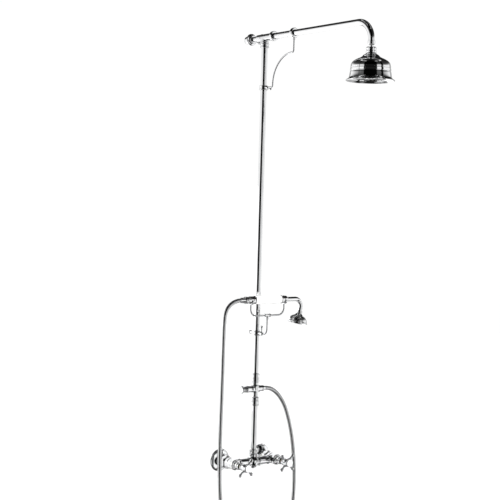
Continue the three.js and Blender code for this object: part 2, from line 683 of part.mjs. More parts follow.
function showerArm() {
  const start = vector(0, -COLLAR_AT - COLLAR_PIPE_GAP / 2, 0);
  const bendStart = vector(0, -ARM_REACH + ARM_BEND_RADIUS, 0);
  const bend = new Bend(bendStart, OUT, DOWN, ARM_BEND_RADIUS, QUARTER);
  const end = vector(0, -ARM_REACH, -ARM_BEND_RADIUS - ARM_TAIL);
  return alongCurve(curvePath(
    new THREE.LineCurve3(start, bendStart), bend, new THREE.LineCurve3(bend.getPoint(1), end),
  ), PIPE_RADIUS, 30, ROUND_SIDES, PIPE_BORE);
}

// ================================================================ brace

// Down out of the arm collar, a quick turn towards the riser, a long quarter sweep down,
// and a last quick turn into the riser clamp.
function braceRod() {
  const inward = vector(0, 1, 0);
  const knee = BRACE_KNEE_RADIUS;
  const sweepTop = BRACE_CURVE_RADIUS - BRACE_DROP;
  const top = vector(0, -COLLAR_AT, 5 - ARM_NUT_RADIUS - SEAT_GAP);
  const kneeStart = vector(0, -COLLAR_AT, sweepTop + knee);
  const sweepStart = vector(0, knee - COLLAR_AT, sweepTop);
  const sweepEnd = vector(0, BRACE_CURVE_RADIUS - COLLAR_AT, knee - BRACE_DROP);
  const footStart = vector(0, sweepEnd.y + knee, -BRACE_DROP);
  const end = vector(0, -PIPE_SOCKET - CLAMP_WALL - SEAT_GAP, -BRACE_DROP);
  return alongCurve(curvePath(
    new THREE.LineCurve3(top, kneeStart),
    new Bend(kneeStart, DOWN, inward, knee, QUARTER),
    new Bend(sweepStart, inward, DOWN, BRACE_CURVE_RADIUS - knee, QUARTER),
    new Bend(sweepEnd, DOWN, inward, knee, QUARTER),
    new THREE.LineCurve3(footStart, end),
  ), BRACE_ROD_RADIUS, 36, 8);
}

// A split-collar clamp on the riser, with a boss for the rod in front and one for the screw.
function braceClamp() {
  const half = BRACE_CLAMP_HEIGHT / 2;
  const grip = PIPE_SOCKET + CLAMP_WALL;
  return carve([
    nut(PIPE_BORE, grip, -half, half),
    turnTo(rod(BRACE_ROD_RADIUS + 2, 0, BRACE_BOSS_OUT, SMALL_SIDES), OUT),
    turnTo(rod(SCREW_RADIUS + 2.2, 0, grip + 2, SMALL_SIDES), RIGHT),
  ], [
    rod(PIPE_SOCKET, -half - 1, half + 1),
    turnTo(rod(BRACE_ROD_RADIUS + SEAT_GAP, grip, BRACE_BOSS_OUT + 1, SMALL_SIDES), OUT),
    turnTo(rod(SCREW_RADIUS + RUNNING_GAP, 0, grip + 3, SMALL_SIDES), RIGHT),
  ]);
}

// ================================================================ overhead rose
// Heights here run downwards from the arm axis.
const ROSE_TOP = BALL_DROP + SWIVEL_NUT_DOWN + SEAT_GAP;
const ROSE_RIM = ROSE_TOP + ROSE_HEIGHT;
const SKIRT_RADIUS = ROSE_RADIUS - ROSE_LIP_FLARE;

function roseAdapter() {
  const pipeEnd = ARM_BEND_RADIUS + ARM_TAIL;
  const top = pipeEnd - 5;
  const shoulder = pipeEnd + ADAPTER_HEIGHT;
  const stemAngle = -Math.acos(BALL_STEM_RADIUS / BALL_RADIUS) * (180 / Math.PI);
  const boreAngle = Math.acos(3 / BALL_RADIUS) * (180 / Math.PI);
  return turned([
    [PIPE_SOCKET, top], [ADAPTER_RADIUS, top], [ADAPTER_RADIUS, shoulder - 3],
    [ADAPTER_RADIUS - 2, shoulder - 0.6], [BALL_STEM_RADIUS, shoulder],
    ...arcProfile(0, BALL_DROP, BALL_RADIUS, stemAngle, boreAngle, 6),
    [3, pipeEnd + 1], [PIPE_SOCKET, pipeEnd + 1], [PIPE_SOCKET, top],
  ]);
}

function ballSeat() {
  const zone = 20;
  const outside = arcProfile(0, BALL_DROP, SEAT_OUTER, -zone, zone, 4);
  const inside = arcProfile(0, BALL_DROP, BALL_RADIUS + SEAT_GAP, zone, -zone, 4);
  return turned([...outside, ...inside, outside[0]]);
}

function swivelNut() {
  const cavity = SEAT_OUTER + SEAT_GAP;
  const low = BALL_DROP - SWIVEL_NUT_UP;
  const high = BALL_DROP + SWIVEL_NUT_DOWN;
  const inside = arcProfile(0, BALL_DROP, cavity, 32, -32, 6);
  const bore = inside[0][0];
  return turned([
    [bore, low], [SWIVEL_NUT_RADIUS - 2, low], [SWIVEL_NUT_RADIUS, low + 2],
    [SWIVEL_NUT_RADIUS, high - 2], [SWIVEL_NUT_RADIUS - 1, high], [bore, high],
    ...inside, [bore, low],
  ]);
}

// The bell: a concave flare, a rounded shoulder, a steep skirt and an outward rolled lip.
function roseShell() {
  const outline = [
    [SWIVEL_NUT_RADIUS, 0], [SWIVEL_NUT_RADIUS + 0.8, 2], [SKIRT_RADIUS - 36.5, 4.5],
    [SKIRT_RADIUS - 32, 9.5], [SKIRT_RADIUS - 25, 13.5], [SKIRT_RADIUS - 15.5, 17.8],
    [SKIRT_RADIUS - 8.4, 22], [SKIRT_RADIUS - 4.8, 27.2], [SKIRT_RADIUS - 3, 34],
    [SKIRT_RADIUS - 2.2, 43], [SKIRT_RADIUS - 1.2, 51], [SKIRT_RADIUS, ROSE_HEIGHT - 9],
    [ROSE_RADIUS - 4.5, ROSE_HEIGHT - 5.4], [ROSE_RADIUS, ROSE_HEIGHT - 2],
    [ROSE_RADIUS, ROSE_HEIGHT],
  ];
  const lining = outline.slice(2).map(([radius, height]) => [radius - ROSE_SHEET, height + 0.6]);
  lining[lining.length - 1][1] = ROSE_HEIGHT;
  const inlet = BALL_STEM_RADIUS;
  const inside = [...lining.reverse(), [SWIVEL_NUT_RADIUS - 1, 3], [inlet, 1.6], [inlet, 0]];
  const profile = [...outline, ...inside, outline[0]];
  return turned(profile.map(([radius, height]) => [radius, ROSE_TOP + height]), WIDE_SIDES);
}

// Spray holes on rings of six, twelve, eighteen and so on around one in the middle.
function sprayHoles(rings, pitch, radius, low, high) {
  const holes = [rod(radius, low, high, 6)];
  for (let index = 1; index <= rings; index += 1) {
    const count = 6 * index;
    for (let hole = 0; hole < count; hole += 1) {
      const angle = (2 * Math.PI * hole) / count;
      const reach = pitch * index;
      holes.push(rod(radius, low, high, 6)
        .translate(reach * Math.cos(angle), reach * Math.sin(angle), 0));
    }
  }
  return holes;
}

function roseFace() {
  const radius = SKIRT_RADIUS - ROSE_SHEET - SEAT_GAP - 0.5;
  const low = ROSE_RIM - FACE_UP - FACE_THICKNESS;
  const front = low + FACE_THICKNESS;
  const pitch = radius / (FACE_HOLE_RINGS + 1);
  return carve([turned([
    [0, low], [radius, low], [radius, front], [radius * 0.2, front + 1], [0, front + 1],
  ], WIDE_SIDES)], sprayHoles(FACE_HOLE_RINGS, pitch, FACE_HOLE_RADIUS, low - 1, ROSE_RIM));
}

function topArm() {
  const nutBack = TEE_FRONT + SEAT_GAP;
  const stubBack = TEE_FRONT - RISER_SOCKET_DEPTH + SEAT_GAP;
  const stubFront = COLLAR_AT - COLLAR_PIPE_GAP / 2;
  const screwSeat = [
    STAY_TURN.x * (STAY_RADIUS + SEAT_GAP), RISER_TO_WALL - (STAY_FLANGE_DEPTH + 5) / 2,
    STAY_TURN.z * (STAY_RADIUS + SEAT_GAP),
  ];
  const atWall = [0, RISER_TO_WALL, 0];
  const atRose = [0, -ARM_REACH, 0];
  const atBrace = [0, 0, -BRACE_DROP];
  const topNut = -TEE_SOCKET_LOW - SEAT_GAP;
  return assembly([0, -RISER_TO_WALL, ARM_HEIGHT],
    piece('riser_top_nut', 'chrome', pipeNut(topNut - TOP_NUT_HEIGHT, topNut)),
    piece('arm_tee', 'chrome', armTee()),
    piece('stay_tube', 'chrome',
      rod(STAY_RADIUS, SEAT_GAP - RISER_TO_WALL, -TEE_BACK + 12 - SEAT_GAP), OUT),
    piece('stay_wall_flange', 'chrome', stayFlange(), OUT, atWall),
    piece('stay_wall_anchor', 'chrome', anchorPlug(), OUT, atWall),
    piece('stay_thumb_screw', 'chrome', thumbScrew(), STAY_TURN, screwSeat),
    piece('arm_union_nut', 'chrome',
      nut(PIPE_SOCKET, ARM_NUT_RADIUS, nutBack, nutBack + ARM_NUT_LENGTH), OUT),
    piece('arm_stub_pipe', 'chrome', ring(PIPE_BORE, PIPE_RADIUS, stubBack, stubFront), OUT),
    piece('arm_brace_collar', 'chrome', armCollar()),
    piece('shower_arm', 'chrome', showerArm()),
    piece('brace_rod', 'chrome', braceRod()),
    piece('brace_clamp', 'chrome', braceClamp(), UP, atBrace),
    piece('brace_thumb_screw', 'chrome', thumbScrew(), RIGHT,
      [PIPE_RADIUS + SEAT_GAP, 0, -BRACE_DROP]),
    piece('rose_ball_adapter', 'chrome', roseAdapter(), DOWN, atRose),
    piece('rose_ball_seat', 'nylon', ballSeat(), DOWN, atRose),
    piece('rose_swivel_nut', 'chrome', swivelNut(), DOWN, atRose),
    piece('rose_shell', 'chrome', roseShell(), DOWN, atRose),
    piece('rose_face', 'chrome', roseFace(), DOWN, atRose));
}

// ================================================================ hand shower
// Local origin: the middle of the porcelain grip.
const CORE_SOCKET = CORE_RADIUS + SEAT_GAP;
const HAND_WATERWAY = 4;
const FERRULE_FOOT = GRIP_HALF + SEAT_GAP;
const FERRULE_BEAD = FERRULE_RADIUS + 1.2;
const HOSE_SPIGOT_LENGTH = 6;

function grip() {
  const bore = CORE_SOCKET;
  const swell = [-1, -0.8, -0.45, 0, 0.45, 0.8, 1].map((share) => [
    GRIP_END_RADIUS + (GRIP_RADIUS - GRIP_END_RADIUS) * (1 - share * share), share * GRIP_HALF,
  ]);
  return turned([[bore, -GRIP_HALF], ...swell, [bore, GRIP_HALF], [bore, -GRIP_HALF]]);
}

function inletFerrule() {
  const end = INLET_FERRULE_END;
  const spigot = CORE_RADIUS;
  return turned([
    [CORE_SOCKET, FERRULE_FOOT], [FERRULE_BEAD, FERRULE_FOOT], [FERRULE_BEAD, FERRULE_FOOT + 2.5],
    [FERRULE_RADIUS, FERRULE_FOOT + 4], [FERRULE_RADIUS, CUP_HALF_SPAN + CUP_WIDTH],
    [FERRULE_RADIUS - 1.8, end - 8], [FERRULE_RADIUS - 1.8, end - 5.5],
    [FERRULE_RADIUS - 0.8, end - 4.5], [FERRULE_RADIUS - 0.8, end], [spigot, end],
    [spigot, end + HOSE_SPIGOT_LENGTH], [HAND_WATERWAY, end + HOSE_SPIGOT_LENGTH],
    [HAND_WATERWAY, FERRULE_FOOT + CORE_INSERT + SEAT_GAP],
    [CORE_SOCKET, FERRULE_FOOT + CORE_INSERT + SEAT_GAP], [CORE_SOCKET, FERRULE_FOOT],
  ]);
}

function handsetHoseNut() {
  const start = INLET_FERRULE_END + SEAT_GAP;
  const wide = CORE_RADIUS + RUNNING_GAP;
  const step = INLET_FERRULE_END + HOSE_SPIGOT_LENGTH + SEAT_GAP;
  return turned([
    [wide, start], [HOSE_NUT_RADIUS + 1.6, start], [HOSE_NUT_RADIUS + 1.6, start + 3],
    [HOSE_NUT_RADIUS, start + 4.5], [HOSE_RADIUS + 1, HOSE_NUT_END], [HAND_WATERWAY, HOSE_NUT_END],
    [HAND_WATERWAY, step], [wide, step], [wide, start],
  ]);
}

function outletFerrule() {
  const end = OUTLET_FERRULE_END;
  const neckSocket = NECK_RADIUS + SEAT_GAP;
  const coreEnd = FERRULE_FOOT + CORE_INSERT + SEAT_GAP;
  return turned([
    [CORE_SOCKET, FERRULE_FOOT], [FERRULE_BEAD, FERRULE_FOOT], [FERRULE_BEAD, FERRULE_FOOT + 2.5],
    [FERRULE_RADIUS, FERRULE_FOOT + 4], [FERRULE_RADIUS, CUP_HALF_SPAN + CUP_WIDTH - 1],
    [OUTLET_FERRULE_TIP, end], [neckSocket, end], [neckSocket, end - NECK_INSERT],
    [HAND_WATERWAY, end - NECK_INSERT], [HAND_WATERWAY, coreEnd], [CORE_SOCKET, coreEnd],
    [CORE_SOCKET, FERRULE_FOOT],
  ]);
}

// The neck runs straight out of the ferrule, bends past the vertical and ends in the rose.
const NECK_BEND = new Bend(vector(NECK_STRAIGHT_END, 0, 0), RIGHT, DOWN, NECK_BEND_RADIUS,
  radians(NECK_BEND_ANGLE));
const ROSE_HEADING = NECK_BEND.getTangent(1);
const NECK_END = NECK_BEND.getPoint(1).addScaledVector(ROSE_HEADING, NECK_TAIL);

function handsetNeck() {
  const start = vector(OUTLET_FERRULE_END - NECK_INSERT + SEAT_GAP, 0, 0);
  return alongCurve(curvePath(
    new THREE.LineCurve3(start, NECK_BEND.start), NECK_BEND,
    new THREE.LineCurve3(NECK_BEND.getPoint(1), NECK_END),
  ), NECK_RADIUS, 12, SMALL_SIDES, NECK_BORE);
}

const HAND_ROSE_TOP = 2 + SEAT_GAP;

function handRoseNut() {
  return nut(NECK_RADIUS + SEAT_GAP, HAND_NUT_RADIUS, HAND_ROSE_TOP - SEAT_GAP - HAND_NUT_HEIGHT,
    HAND_ROSE_TOP - SEAT_GAP);
}

function handRoseShell() {
  const outline = [
    [HAND_NUT_RADIUS - 0.5, 0], [HAND_NUT_RADIUS, 2.6], [HAND_ROSE_RADIUS - 17.5, 6],
    [HAND_ROSE_RADIUS - 10.5, 9.6], [HAND_ROSE_RADIUS - 5, 14.6], [HAND_ROSE_RADIUS - 2, 20.6],
    [HAND_ROSE_RADIUS - 1.4, HAND_ROSE_HEIGHT - 4], [HAND_ROSE_RADIUS, HAND_ROSE_HEIGHT - 2.4],
    [HAND_ROSE_RADIUS, HAND_ROSE_HEIGHT],
  ];
  const lining = outline.slice(2).map(([radius, height]) => [radius - HAND_ROSE_SHEET, height + 1]);
  lining[lining.length - 1][1] = HAND_ROSE_HEIGHT;
  const inside = [...lining.reverse(), [HAND_NUT_RADIUS - 1, 4], [HAND_WATERWAY, 2],
    [HAND_WATERWAY, 0]];
  const profile = [...outline, ...inside, outline[0]];
  return turned(profile.map(([radius, height]) => [radius, HAND_ROSE_TOP + height]), WIDE_SIDES);
}

function handRoseFace() {
  const radius = HAND_ROSE_RADIUS - HAND_ROSE_SHEET - SEAT_GAP - 1.4;
  const low = HAND_ROSE_TOP + HAND_ROSE_HEIGHT - 5;
  return carve([turned([
    [0, low], [radius, low], [radius, low + 1.6], [radius * 0.2, low + 2.6], [0, low + 2.6],
  ], WIDE_SIDES)], sprayHoles(1, 14, 1.5, low - 1, low + 4));
}

function handShower() {
  const atNeckEnd = NECK_END.toArray();
  const coreEnd = GRIP_HALF + CORE_INSERT;
  return assembly([0, -RISER_TO_WALL - HANDSET_STANDOFF, HANDSET_HEIGHT],
    piece('handset_hose_nut', 'chrome', handsetHoseNut(), LEFT),
    piece('handset_inlet_ferrule', 'chrome', inletFerrule(), LEFT),
    piece('handset_core_tube', 'brass',
      ring(CORE_RADIUS - CORE_WALL, CORE_RADIUS, -coreEnd, coreEnd), RIGHT),
    piece('handset_grip', 'porcelain', grip(), RIGHT),
    piece('handset_outlet_ferrule', 'chrome', outletFerrule(), RIGHT),
    piece('handset_neck', 'chrome', handsetNeck()),
    piece('handset_rose_nut', 'chrome', handRoseNut(), ROSE_HEADING, atNeckEnd),
    piece('handset_rose_shell', 'chrome', handRoseShell(), ROSE_HEADING, atNeckEnd),
    piece('handset_rose_face', 'chrome', handRoseFace(), ROSE_HEADING, atNeckEnd));
}

// ================================================================ handset cradle
// Local origin: on the riser axis, at the middle of the clamp.
const KNUCKLE_HEIGHT = HANDSET_HEIGHT - CRADLE_HEIGHT - KNUCKLE_DROP;
const FORK_BORE = FORK_ROD_RADIUS + SEAT_GAP;
const STEM_BORE = STEM_RADIUS + SEAT_GAP;
const CUP_RADIUS = FERRULE_RADIUS + CUP_CLEARANCE;

function cradleClamp() {
  const half = CRADLE_CLAMP_HEIGHT / 2;
  const lugHole = CRADLE_BOSS_BACK - 5;
  return carve([
    nut(PIPE_BORE, PIPE_SOCKET + CLAMP_WALL, -half, half),
    turnTo(rod(CRADLE_BOSS_RADIUS, -CRADLE_BOSS_BACK, CRADLE_BOSS_FRONT, SMALL_SIDES), OUT),
  ], [
    rod(PIPE_SOCKET, -half - 1, half + 1),
    turnTo(rod(STEM_BORE, CRADLE_BOSS_FRONT - STEM_SOCKET, CRADLE_BOSS_FRONT + 1, SMALL_SIDES), OUT),
    turnTo(rod(2.4, -10, 10, SMALL_SIDES), RIGHT, [0, lugHole, 0]),
    turnTo(rod(SCREW_RADIUS + RUNNING_GAP, 0, 10, SMALL_SIDES), UP, [0, 6 - CRADLE_BOSS_FRONT, 0]),
  ]);
}

function cradleStem() {
  const start = vector(0, STEM_SOCKET - CRADLE_BOSS_FRONT - SEAT_GAP, 0);
  const bendRadius = HANDSET_STANDOFF - CRADLE_BOSS_FRONT - 3;
  const bendStart = vector(0, bendRadius - HANDSET_STANDOFF, 0);
  const bend = new Bend(bendStart, OUT, UP, bendRadius, QUARTER);
  const end = vector(0, -HANDSET_STANDOFF, KNUCKLE_HEIGHT - KNUCKLE_RADIUS - 1.5);
  return alongCurve(curvePath(
    new THREE.LineCurve3(start, bendStart), bend, new THREE.LineCurve3(bend.getPoint(1), end),
  ), STEM_RADIUS, 12, 8);
}

function knuckle() {
  return carve([
    turnTo(nut(FORK_ROD_RADIUS, KNUCKLE_RADIUS, -KNUCKLE_HALF, KNUCKLE_HALF, SMALL_SIDES), RIGHT),
    rod(STEM_BORE + 1.4, -KNUCKLE_RADIUS - KNUCKLE_FOOT, -FORK_BORE, SMALL_SIDES),
  ], [
    turnTo(rod(FORK_BORE, -KNUCKLE_HALF - 1, KNUCKLE_HALF + 1, SMALL_SIDES), RIGHT),
    rod(STEM_BORE, -KNUCKLE_RADIUS - KNUCKLE_FOOT - 1, -KNUCKLE_RADIUS - 1.2, SMALL_SIDES),
  ]);
}

// Local origin of the fork: the middle of its cross rod, inside the knuckle.
function cradleFork() {
  const seatLow = KNUCKLE_DROP - CUP_RADIUS - CUP_WALL / 2;
  const bendRadius = seatLow * 0.62;
  const tip = vector(CUP_HALF_SPAN, 0, seatLow);
  const bendStart = vector(CUP_HALF_SPAN, 0, bendRadius);
  const rightBend = new Bend(bendStart, DOWN, LEFT, bendRadius, QUARTER);
  const leftFoot = vector(bendRadius - CUP_HALF_SPAN, 0, 0);
  const leftBend = new Bend(leftFoot, LEFT, UP, bendRadius, QUARTER);
  const leftTip = vector(-CUP_HALF_SPAN, 0, seatLow);
  const yoke = alongCurve(curvePath(
    new THREE.LineCurve3(tip, bendStart), rightBend,
    new THREE.LineCurve3(rightBend.getPoint(1), leftFoot), leftBend,
    new THREE.LineCurve3(leftBend.getPoint(1), leftTip),
  ), FORK_ROD_RADIUS, 28, 8);
  const halfCup = CUP_WIDTH / 2;
  const cups = [-CUP_HALF_SPAN, CUP_HALF_SPAN].map((x) => turnTo(
    ring(CUP_RADIUS, CUP_RADIUS + CUP_WALL, -halfCup, halfCup), RIGHT, [x, 0, KNUCKLE_DROP]));
  const above = new THREE.BoxGeometry(4 * CUP_HALF_SPAN, 4 * CUP_RADIUS, 2 * CUP_RADIUS)
    .translate(0, 0, KNUCKLE_DROP + CUP_RADIUS);
  const seats = [-CUP_HALF_SPAN, CUP_HALF_SPAN].map((x) => turnTo(
    rod(CUP_RADIUS, -halfCup - 2, halfCup + 2), RIGHT, [x, 0, KNUCKLE_DROP]));
  return carve([yoke, ...cups], [above, ...seats]);
}

function cradle() {
  const atKnuckle = [0, -HANDSET_STANDOFF, KNUCKLE_HEIGHT];
  const screwSeat = [0, 6 - CRADLE_BOSS_FRONT, STEM_RADIUS + SEAT_GAP];
  return assembly([0, -RISER_TO_WALL, CRADLE_HEIGHT],
    piece('cradle_clamp', 'chrome', cradleClamp()),
    piece('cradle_thumb_screw', 'chrome', thumbScrew(), UP, screwSeat),
    piece('cradle_stem', 'chrome', cradleStem()),
    piece('cradle_knuckle', 'chrome', knuckle(), UP, atKnuckle),
    piece('cradle_fork', 'chrome', cradleFork(), UP, atKnuckle));
}

// ================================================================ hose

// The first and last points stay in line with their fittings, and the loop shares out any shift.
function hose() {
  const outlet = vector(OUTLET_NUT_END + SEAT_GAP, -RISER_TO_WALL, DIVERTER_HEIGHT);
  const inlet = vector(-HOSE_NUT_END - SEAT_GAP, -RISER_TO_WALL - HANDSET_STANDOFF, HANDSET_HEIGHT);
  const route = HOSE_ROUTE.map((point) => vector(...point));
  const count = route.length;
  const startShift = outlet.sub(route[0]);
  const endShift = inlet.sub(route[count - 1]);
  const points = route.map((point, index) => {
    const share = THREE.MathUtils.smoothstep(index, HOSE_END_POINTS, count - 1 - HOSE_END_POINTS);
    const shifted = point.clone().add(startShift.clone().lerp(endShift, share));
    return new THREE.Vector4(shifted.x, shifted.y, shifted.z, 1);
  });
  const spans = count - HOSE_DEGREE;
  const inner = Array.from({ length: spans + 1 }, (unused, knot) => knot);
  const first = Array(HOSE_DEGREE).fill(0);
  const last = Array(HOSE_DEGREE).fill(spans);
  const line = new NURBSCurve(HOSE_DEGREE, [...first, ...inner, ...last], points);
  return piece('shower_hose', 'hose', alongCurve(line, HOSE_RADIUS, HOSE_STEPS, HOSE_SIDES));
}

const shower = new THREE.Group();
shower.add(
  ...inlets(),
  assembly([0, -RISER_TO_WALL, 0],
    piece('valve_body', 'chrome', valveBody()), taps(), riserColumn()),
  cradle(),
  handShower(),
  topArm(),
  hose(),
);

export default shower;
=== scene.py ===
"""An exposed shower column: mixer taps, riser, diverter, hand shower, braced arm and rose.

Metres, +Z up, the wall is the plane Y = 0 and the room lies towards -Y. Small sizes are given
in millimetres and turned into metres by MM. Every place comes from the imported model's boxes.
"""
import json
from math import cos, pi, radians, sin, tan

import bmesh
import bpy
from mathutils import Matrix, Vector

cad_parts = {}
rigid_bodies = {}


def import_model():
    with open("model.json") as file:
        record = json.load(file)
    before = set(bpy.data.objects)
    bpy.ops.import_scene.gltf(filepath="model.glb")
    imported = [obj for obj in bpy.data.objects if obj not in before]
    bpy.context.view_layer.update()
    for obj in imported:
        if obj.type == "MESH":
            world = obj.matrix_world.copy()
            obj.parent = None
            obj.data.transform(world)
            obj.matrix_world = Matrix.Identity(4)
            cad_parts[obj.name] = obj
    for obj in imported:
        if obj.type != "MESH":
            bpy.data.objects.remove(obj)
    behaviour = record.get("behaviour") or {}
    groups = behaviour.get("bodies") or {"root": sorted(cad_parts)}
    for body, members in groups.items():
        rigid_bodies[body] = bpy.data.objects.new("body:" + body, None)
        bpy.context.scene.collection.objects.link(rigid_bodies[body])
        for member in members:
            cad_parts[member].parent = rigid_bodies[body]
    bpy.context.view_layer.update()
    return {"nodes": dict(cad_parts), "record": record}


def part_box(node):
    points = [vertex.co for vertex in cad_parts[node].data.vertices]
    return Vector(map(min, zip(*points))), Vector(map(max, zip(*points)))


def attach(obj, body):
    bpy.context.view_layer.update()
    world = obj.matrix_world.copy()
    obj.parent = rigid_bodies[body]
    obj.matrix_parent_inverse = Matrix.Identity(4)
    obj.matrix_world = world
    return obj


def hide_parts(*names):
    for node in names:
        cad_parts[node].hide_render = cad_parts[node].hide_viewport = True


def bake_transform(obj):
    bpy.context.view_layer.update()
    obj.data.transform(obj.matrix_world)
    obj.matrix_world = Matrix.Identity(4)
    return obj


for start_up in list(bpy.data.objects):
    bpy.data.objects.remove(start_up)

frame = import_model()

MM = 0.001
SIDES = 64
SMALL_SIDES = 40
EDGE = 0.35

# radii, bends and walls of the pieces, in millimetres, and the turn of the neck in degrees
PIPE_RADIUS = 8.5
PIPE_BORE = 7.3
PIPE_SOCKET = 8.8
TAIL_RADIUS = 10.5
TAIL_BORE = 7.5
BAR_RADIUS = 12.0
CHAMBER_RADIUS = 15.5
SPINDLE_BORE = 4.85
TIP_BALL = 5.2
ARM_BEND = 51
BRACE_ROD = 2.2
BRACE_KNEE = 6
BRACE_SWEEP = 85
CRADLE_ROD = 2.5
CRADLE_BEND = 15
CUP_BORE = 11.4
CUP_WALL = 2.4
CUP_WIDTH = 6
SCREW_SHANK = 13
SCREW_BALL = 4.3
SCREW_HOLE = 2.35
NECK_RADIUS = 6.8
NECK_BORE = 5
NECK_BEND = 22
NECK_ANGLE = 105
FACE_HOLE = 1.25
HAND_FACE_HOLE = 0.9
STAY_SOCKET = 7.3
ROD_SIDES = 28
ON_AXIS = 1e-6
SOFTEN_FROM = radians(18)

RIGHT, LEFT = Vector((1, 0, 0)), Vector((-1, 0, 0))
OUT, INWARD = Vector((0, -1, 0)), Vector((0, 1, 0))
UP, DOWN = Vector((0, 0, 1)), Vector((0, 0, -1))

RECORD = frame["record"]
BODY_OF = {node: body for body, nodes in RECORD["behaviour"]["bodies"].items() for node in nodes}
SLOT_OF = {part["node"]: part["material_slot"] for part in RECORD["subparts"]}


# ---- measuring the frame

def low(node):
    return Vector(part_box(node)[0])


def high(node):
    return Vector(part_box(node)[1])


def middle(node):
    return (low(node) + high(node)) / 2


def along(node, direction):
    """Where a node's box starts along a direction, on its middle line, its length, its radius."""
    size = high(node) - low(node)
    length = abs(size.dot(direction))
    across = size - Vector([abs(part) * length for part in direction])
    start = middle(node) - direction * (length / 2)
    return start, length / MM, max(across) / 2 / MM


# ---- mesh making, in millimetres

def new_mesh(corners, faces):
    mesh = bpy.data.meshes.new("shape")
    mesh.from_pydata([Vector(corner) * MM for corner in corners], [], faces)
    mesh.validate()
    return mesh


def softened(profile, edge=EDGE, steps=3):
    """The profile with each corner off the axis rounded by an arc."""
    points = [Vector(point) for point in profile]
    count = len(points)
    closed = points[0].x > ON_AXIS
    result = []
    for index, corner in enumerate(points):
        before, after = points[index - 1], points[(index + 1) % count]
        at_end = not closed and index in (0, count - 1)
        into, away = corner - before, after - corner
        if at_end or corner.x < ON_AXIS or into.length < ON_AXIS or away.length < ON_AXIS:
            result.append(tuple(corner))
            continue
        turn = into.angle(away)
        if turn < SOFTEN_FROM:
            result.append(tuple(corner))
            continue
        reach = min(edge * tan(turn / 2), into.length * 0.45, away.length * 0.45)
        first, last = corner - into.normalized() * reach, corner + away.normalized() * reach
        for step in range(steps + 1):
            share = step / steps
            point = first.lerp(corner, share).lerp(corner.lerp(last, share), share)
            result.append(tuple(point))
    return result


def turned(profile, sides=SIDES, edge=EDGE):
    """A solid turned about +Z from (radius, height) pairs, closed on itself or on the axis."""
    points = softened(profile, edge) if edge else list(profile)
    closed = points[0][0] > ON_AXIS
    corners, rings, faces = [], [], []
    for radius, height in points:
        if radius < ON_AXIS:
            rings.append([len(corners)] * sides)
            corners.append((0, 0, height))
            continue
        rings.append(list(range(len(corners), len(corners) + sides)))
        for side in range(sides):
            angle = 2 * pi * side / sides
            corners.append((radius * cos(angle), radius * sin(angle), height))
    pairs = list(zip(rings, rings[1:] + rings[:1])) if closed else list(zip(rings, rings[1:]))
    for lower, upper in pairs:
        for side in range(sides):
            other = (side + 1) % sides
            face = [lower[side], lower[other], upper[other], upper[side]]
            face = list(dict.fromkeys(face))
            if len(face) > 2:
                faces.append(face)
    return outward(new_mesh(corners, faces))


def rod(radius, start, end, sides=SIDES):
    """A plain round bar with sharp ends, for cutting bores."""
    return turned([(0, start), (radius, start), (radius, end), (0, end)], sides, 0)


def both_ends(half, length=0):
    """A profile whose second half repeats the first from the other end."""
    return half + [(radius, length - height) for radius, height in reversed(half)]


def arc(radius, height, start, sweep, steps, rise=None):
    """Profile points round a circle or, with rise, an ellipse, from a start through a sweep."""
    angles = [radians(start + sweep * step / steps) for step in range(steps + 1)]
    return [(radius * cos(angle), height + (rise or radius) * sin(angle))
            for angle in angles]


def outward(mesh):
    """The mesh with its faces turned to face out."""
    work = bmesh.new()
    work.from_mesh(mesh)
    bmesh.ops.recalc_face_normals(work, faces=work.faces)
    if work.calc_volume(signed=True) < 0:
        bmesh.ops.reverse_faces(work, faces=work.faces)
    work.to_mesh(mesh)
    work.free()
    return mesh


def hexagon(across, bottom, top, chamfer=1.0):
    """A hexagonal bar across its flats, its corners taken off by a cone at both ends."""
    sides = 72
    flat = across / 2
    corner = flat / cos(pi / 6)
    corners, faces = [], []
    heights = [bottom, bottom, bottom + chamfer * 0.5, bottom + chamfer * 1.2,
               top - chamfer * 1.2, top - chamfer * 0.5, top, top]
    limits = [0, flat - chamfer * 0.3, flat + chamfer * 0.4, corner + 1,
              corner + 1, flat + chamfer * 0.4, flat - chamfer * 0.3, 0]
    for height, limit in zip(heights, limits):
        for side in range(sides):
            angle = 2 * pi * side / sides
            folded = (angle + pi / 6) % (pi / 3) - pi / 6
            radius = max(0.01, min(flat / cos(folded), limit))
            corners.append((radius * cos(angle), radius * sin(angle), height))
    for ring in range(len(heights) - 1):
        for side in range(sides):
            other = (side + 1) % sides
            first, second = ring * sides, (ring + 1) * sides
            faces.append((first + side, first + other, second + other, second + side))
    faces.append(tuple(range(sides))[::-1])
    faces.append(tuple(range((len(heights) - 1) * sides, len(heights) * sides)))
    return outward(new_mesh(corners, faces))


def ball(radius, height=0, sides=SMALL_SIDES):
    steps = sides // 2
    profile = [(radius * sin(pi * step / steps), height - radius * cos(pi * step / steps))
               for step in range(steps + 1)]
    profile[0], profile[-1] = (0, profile[0][1]), (0, profile[-1][1])
    return turned(profile, sides, 0)


def aimed(mesh, direction, at):
    """The mesh turned from +Z to a direction, with its origin at a point given in metres."""
    turn = UP.rotation_difference(Vector(direction)).to_matrix().to_4x4()
    mesh.transform(Matrix.Translation(at) @ turn)
    return mesh


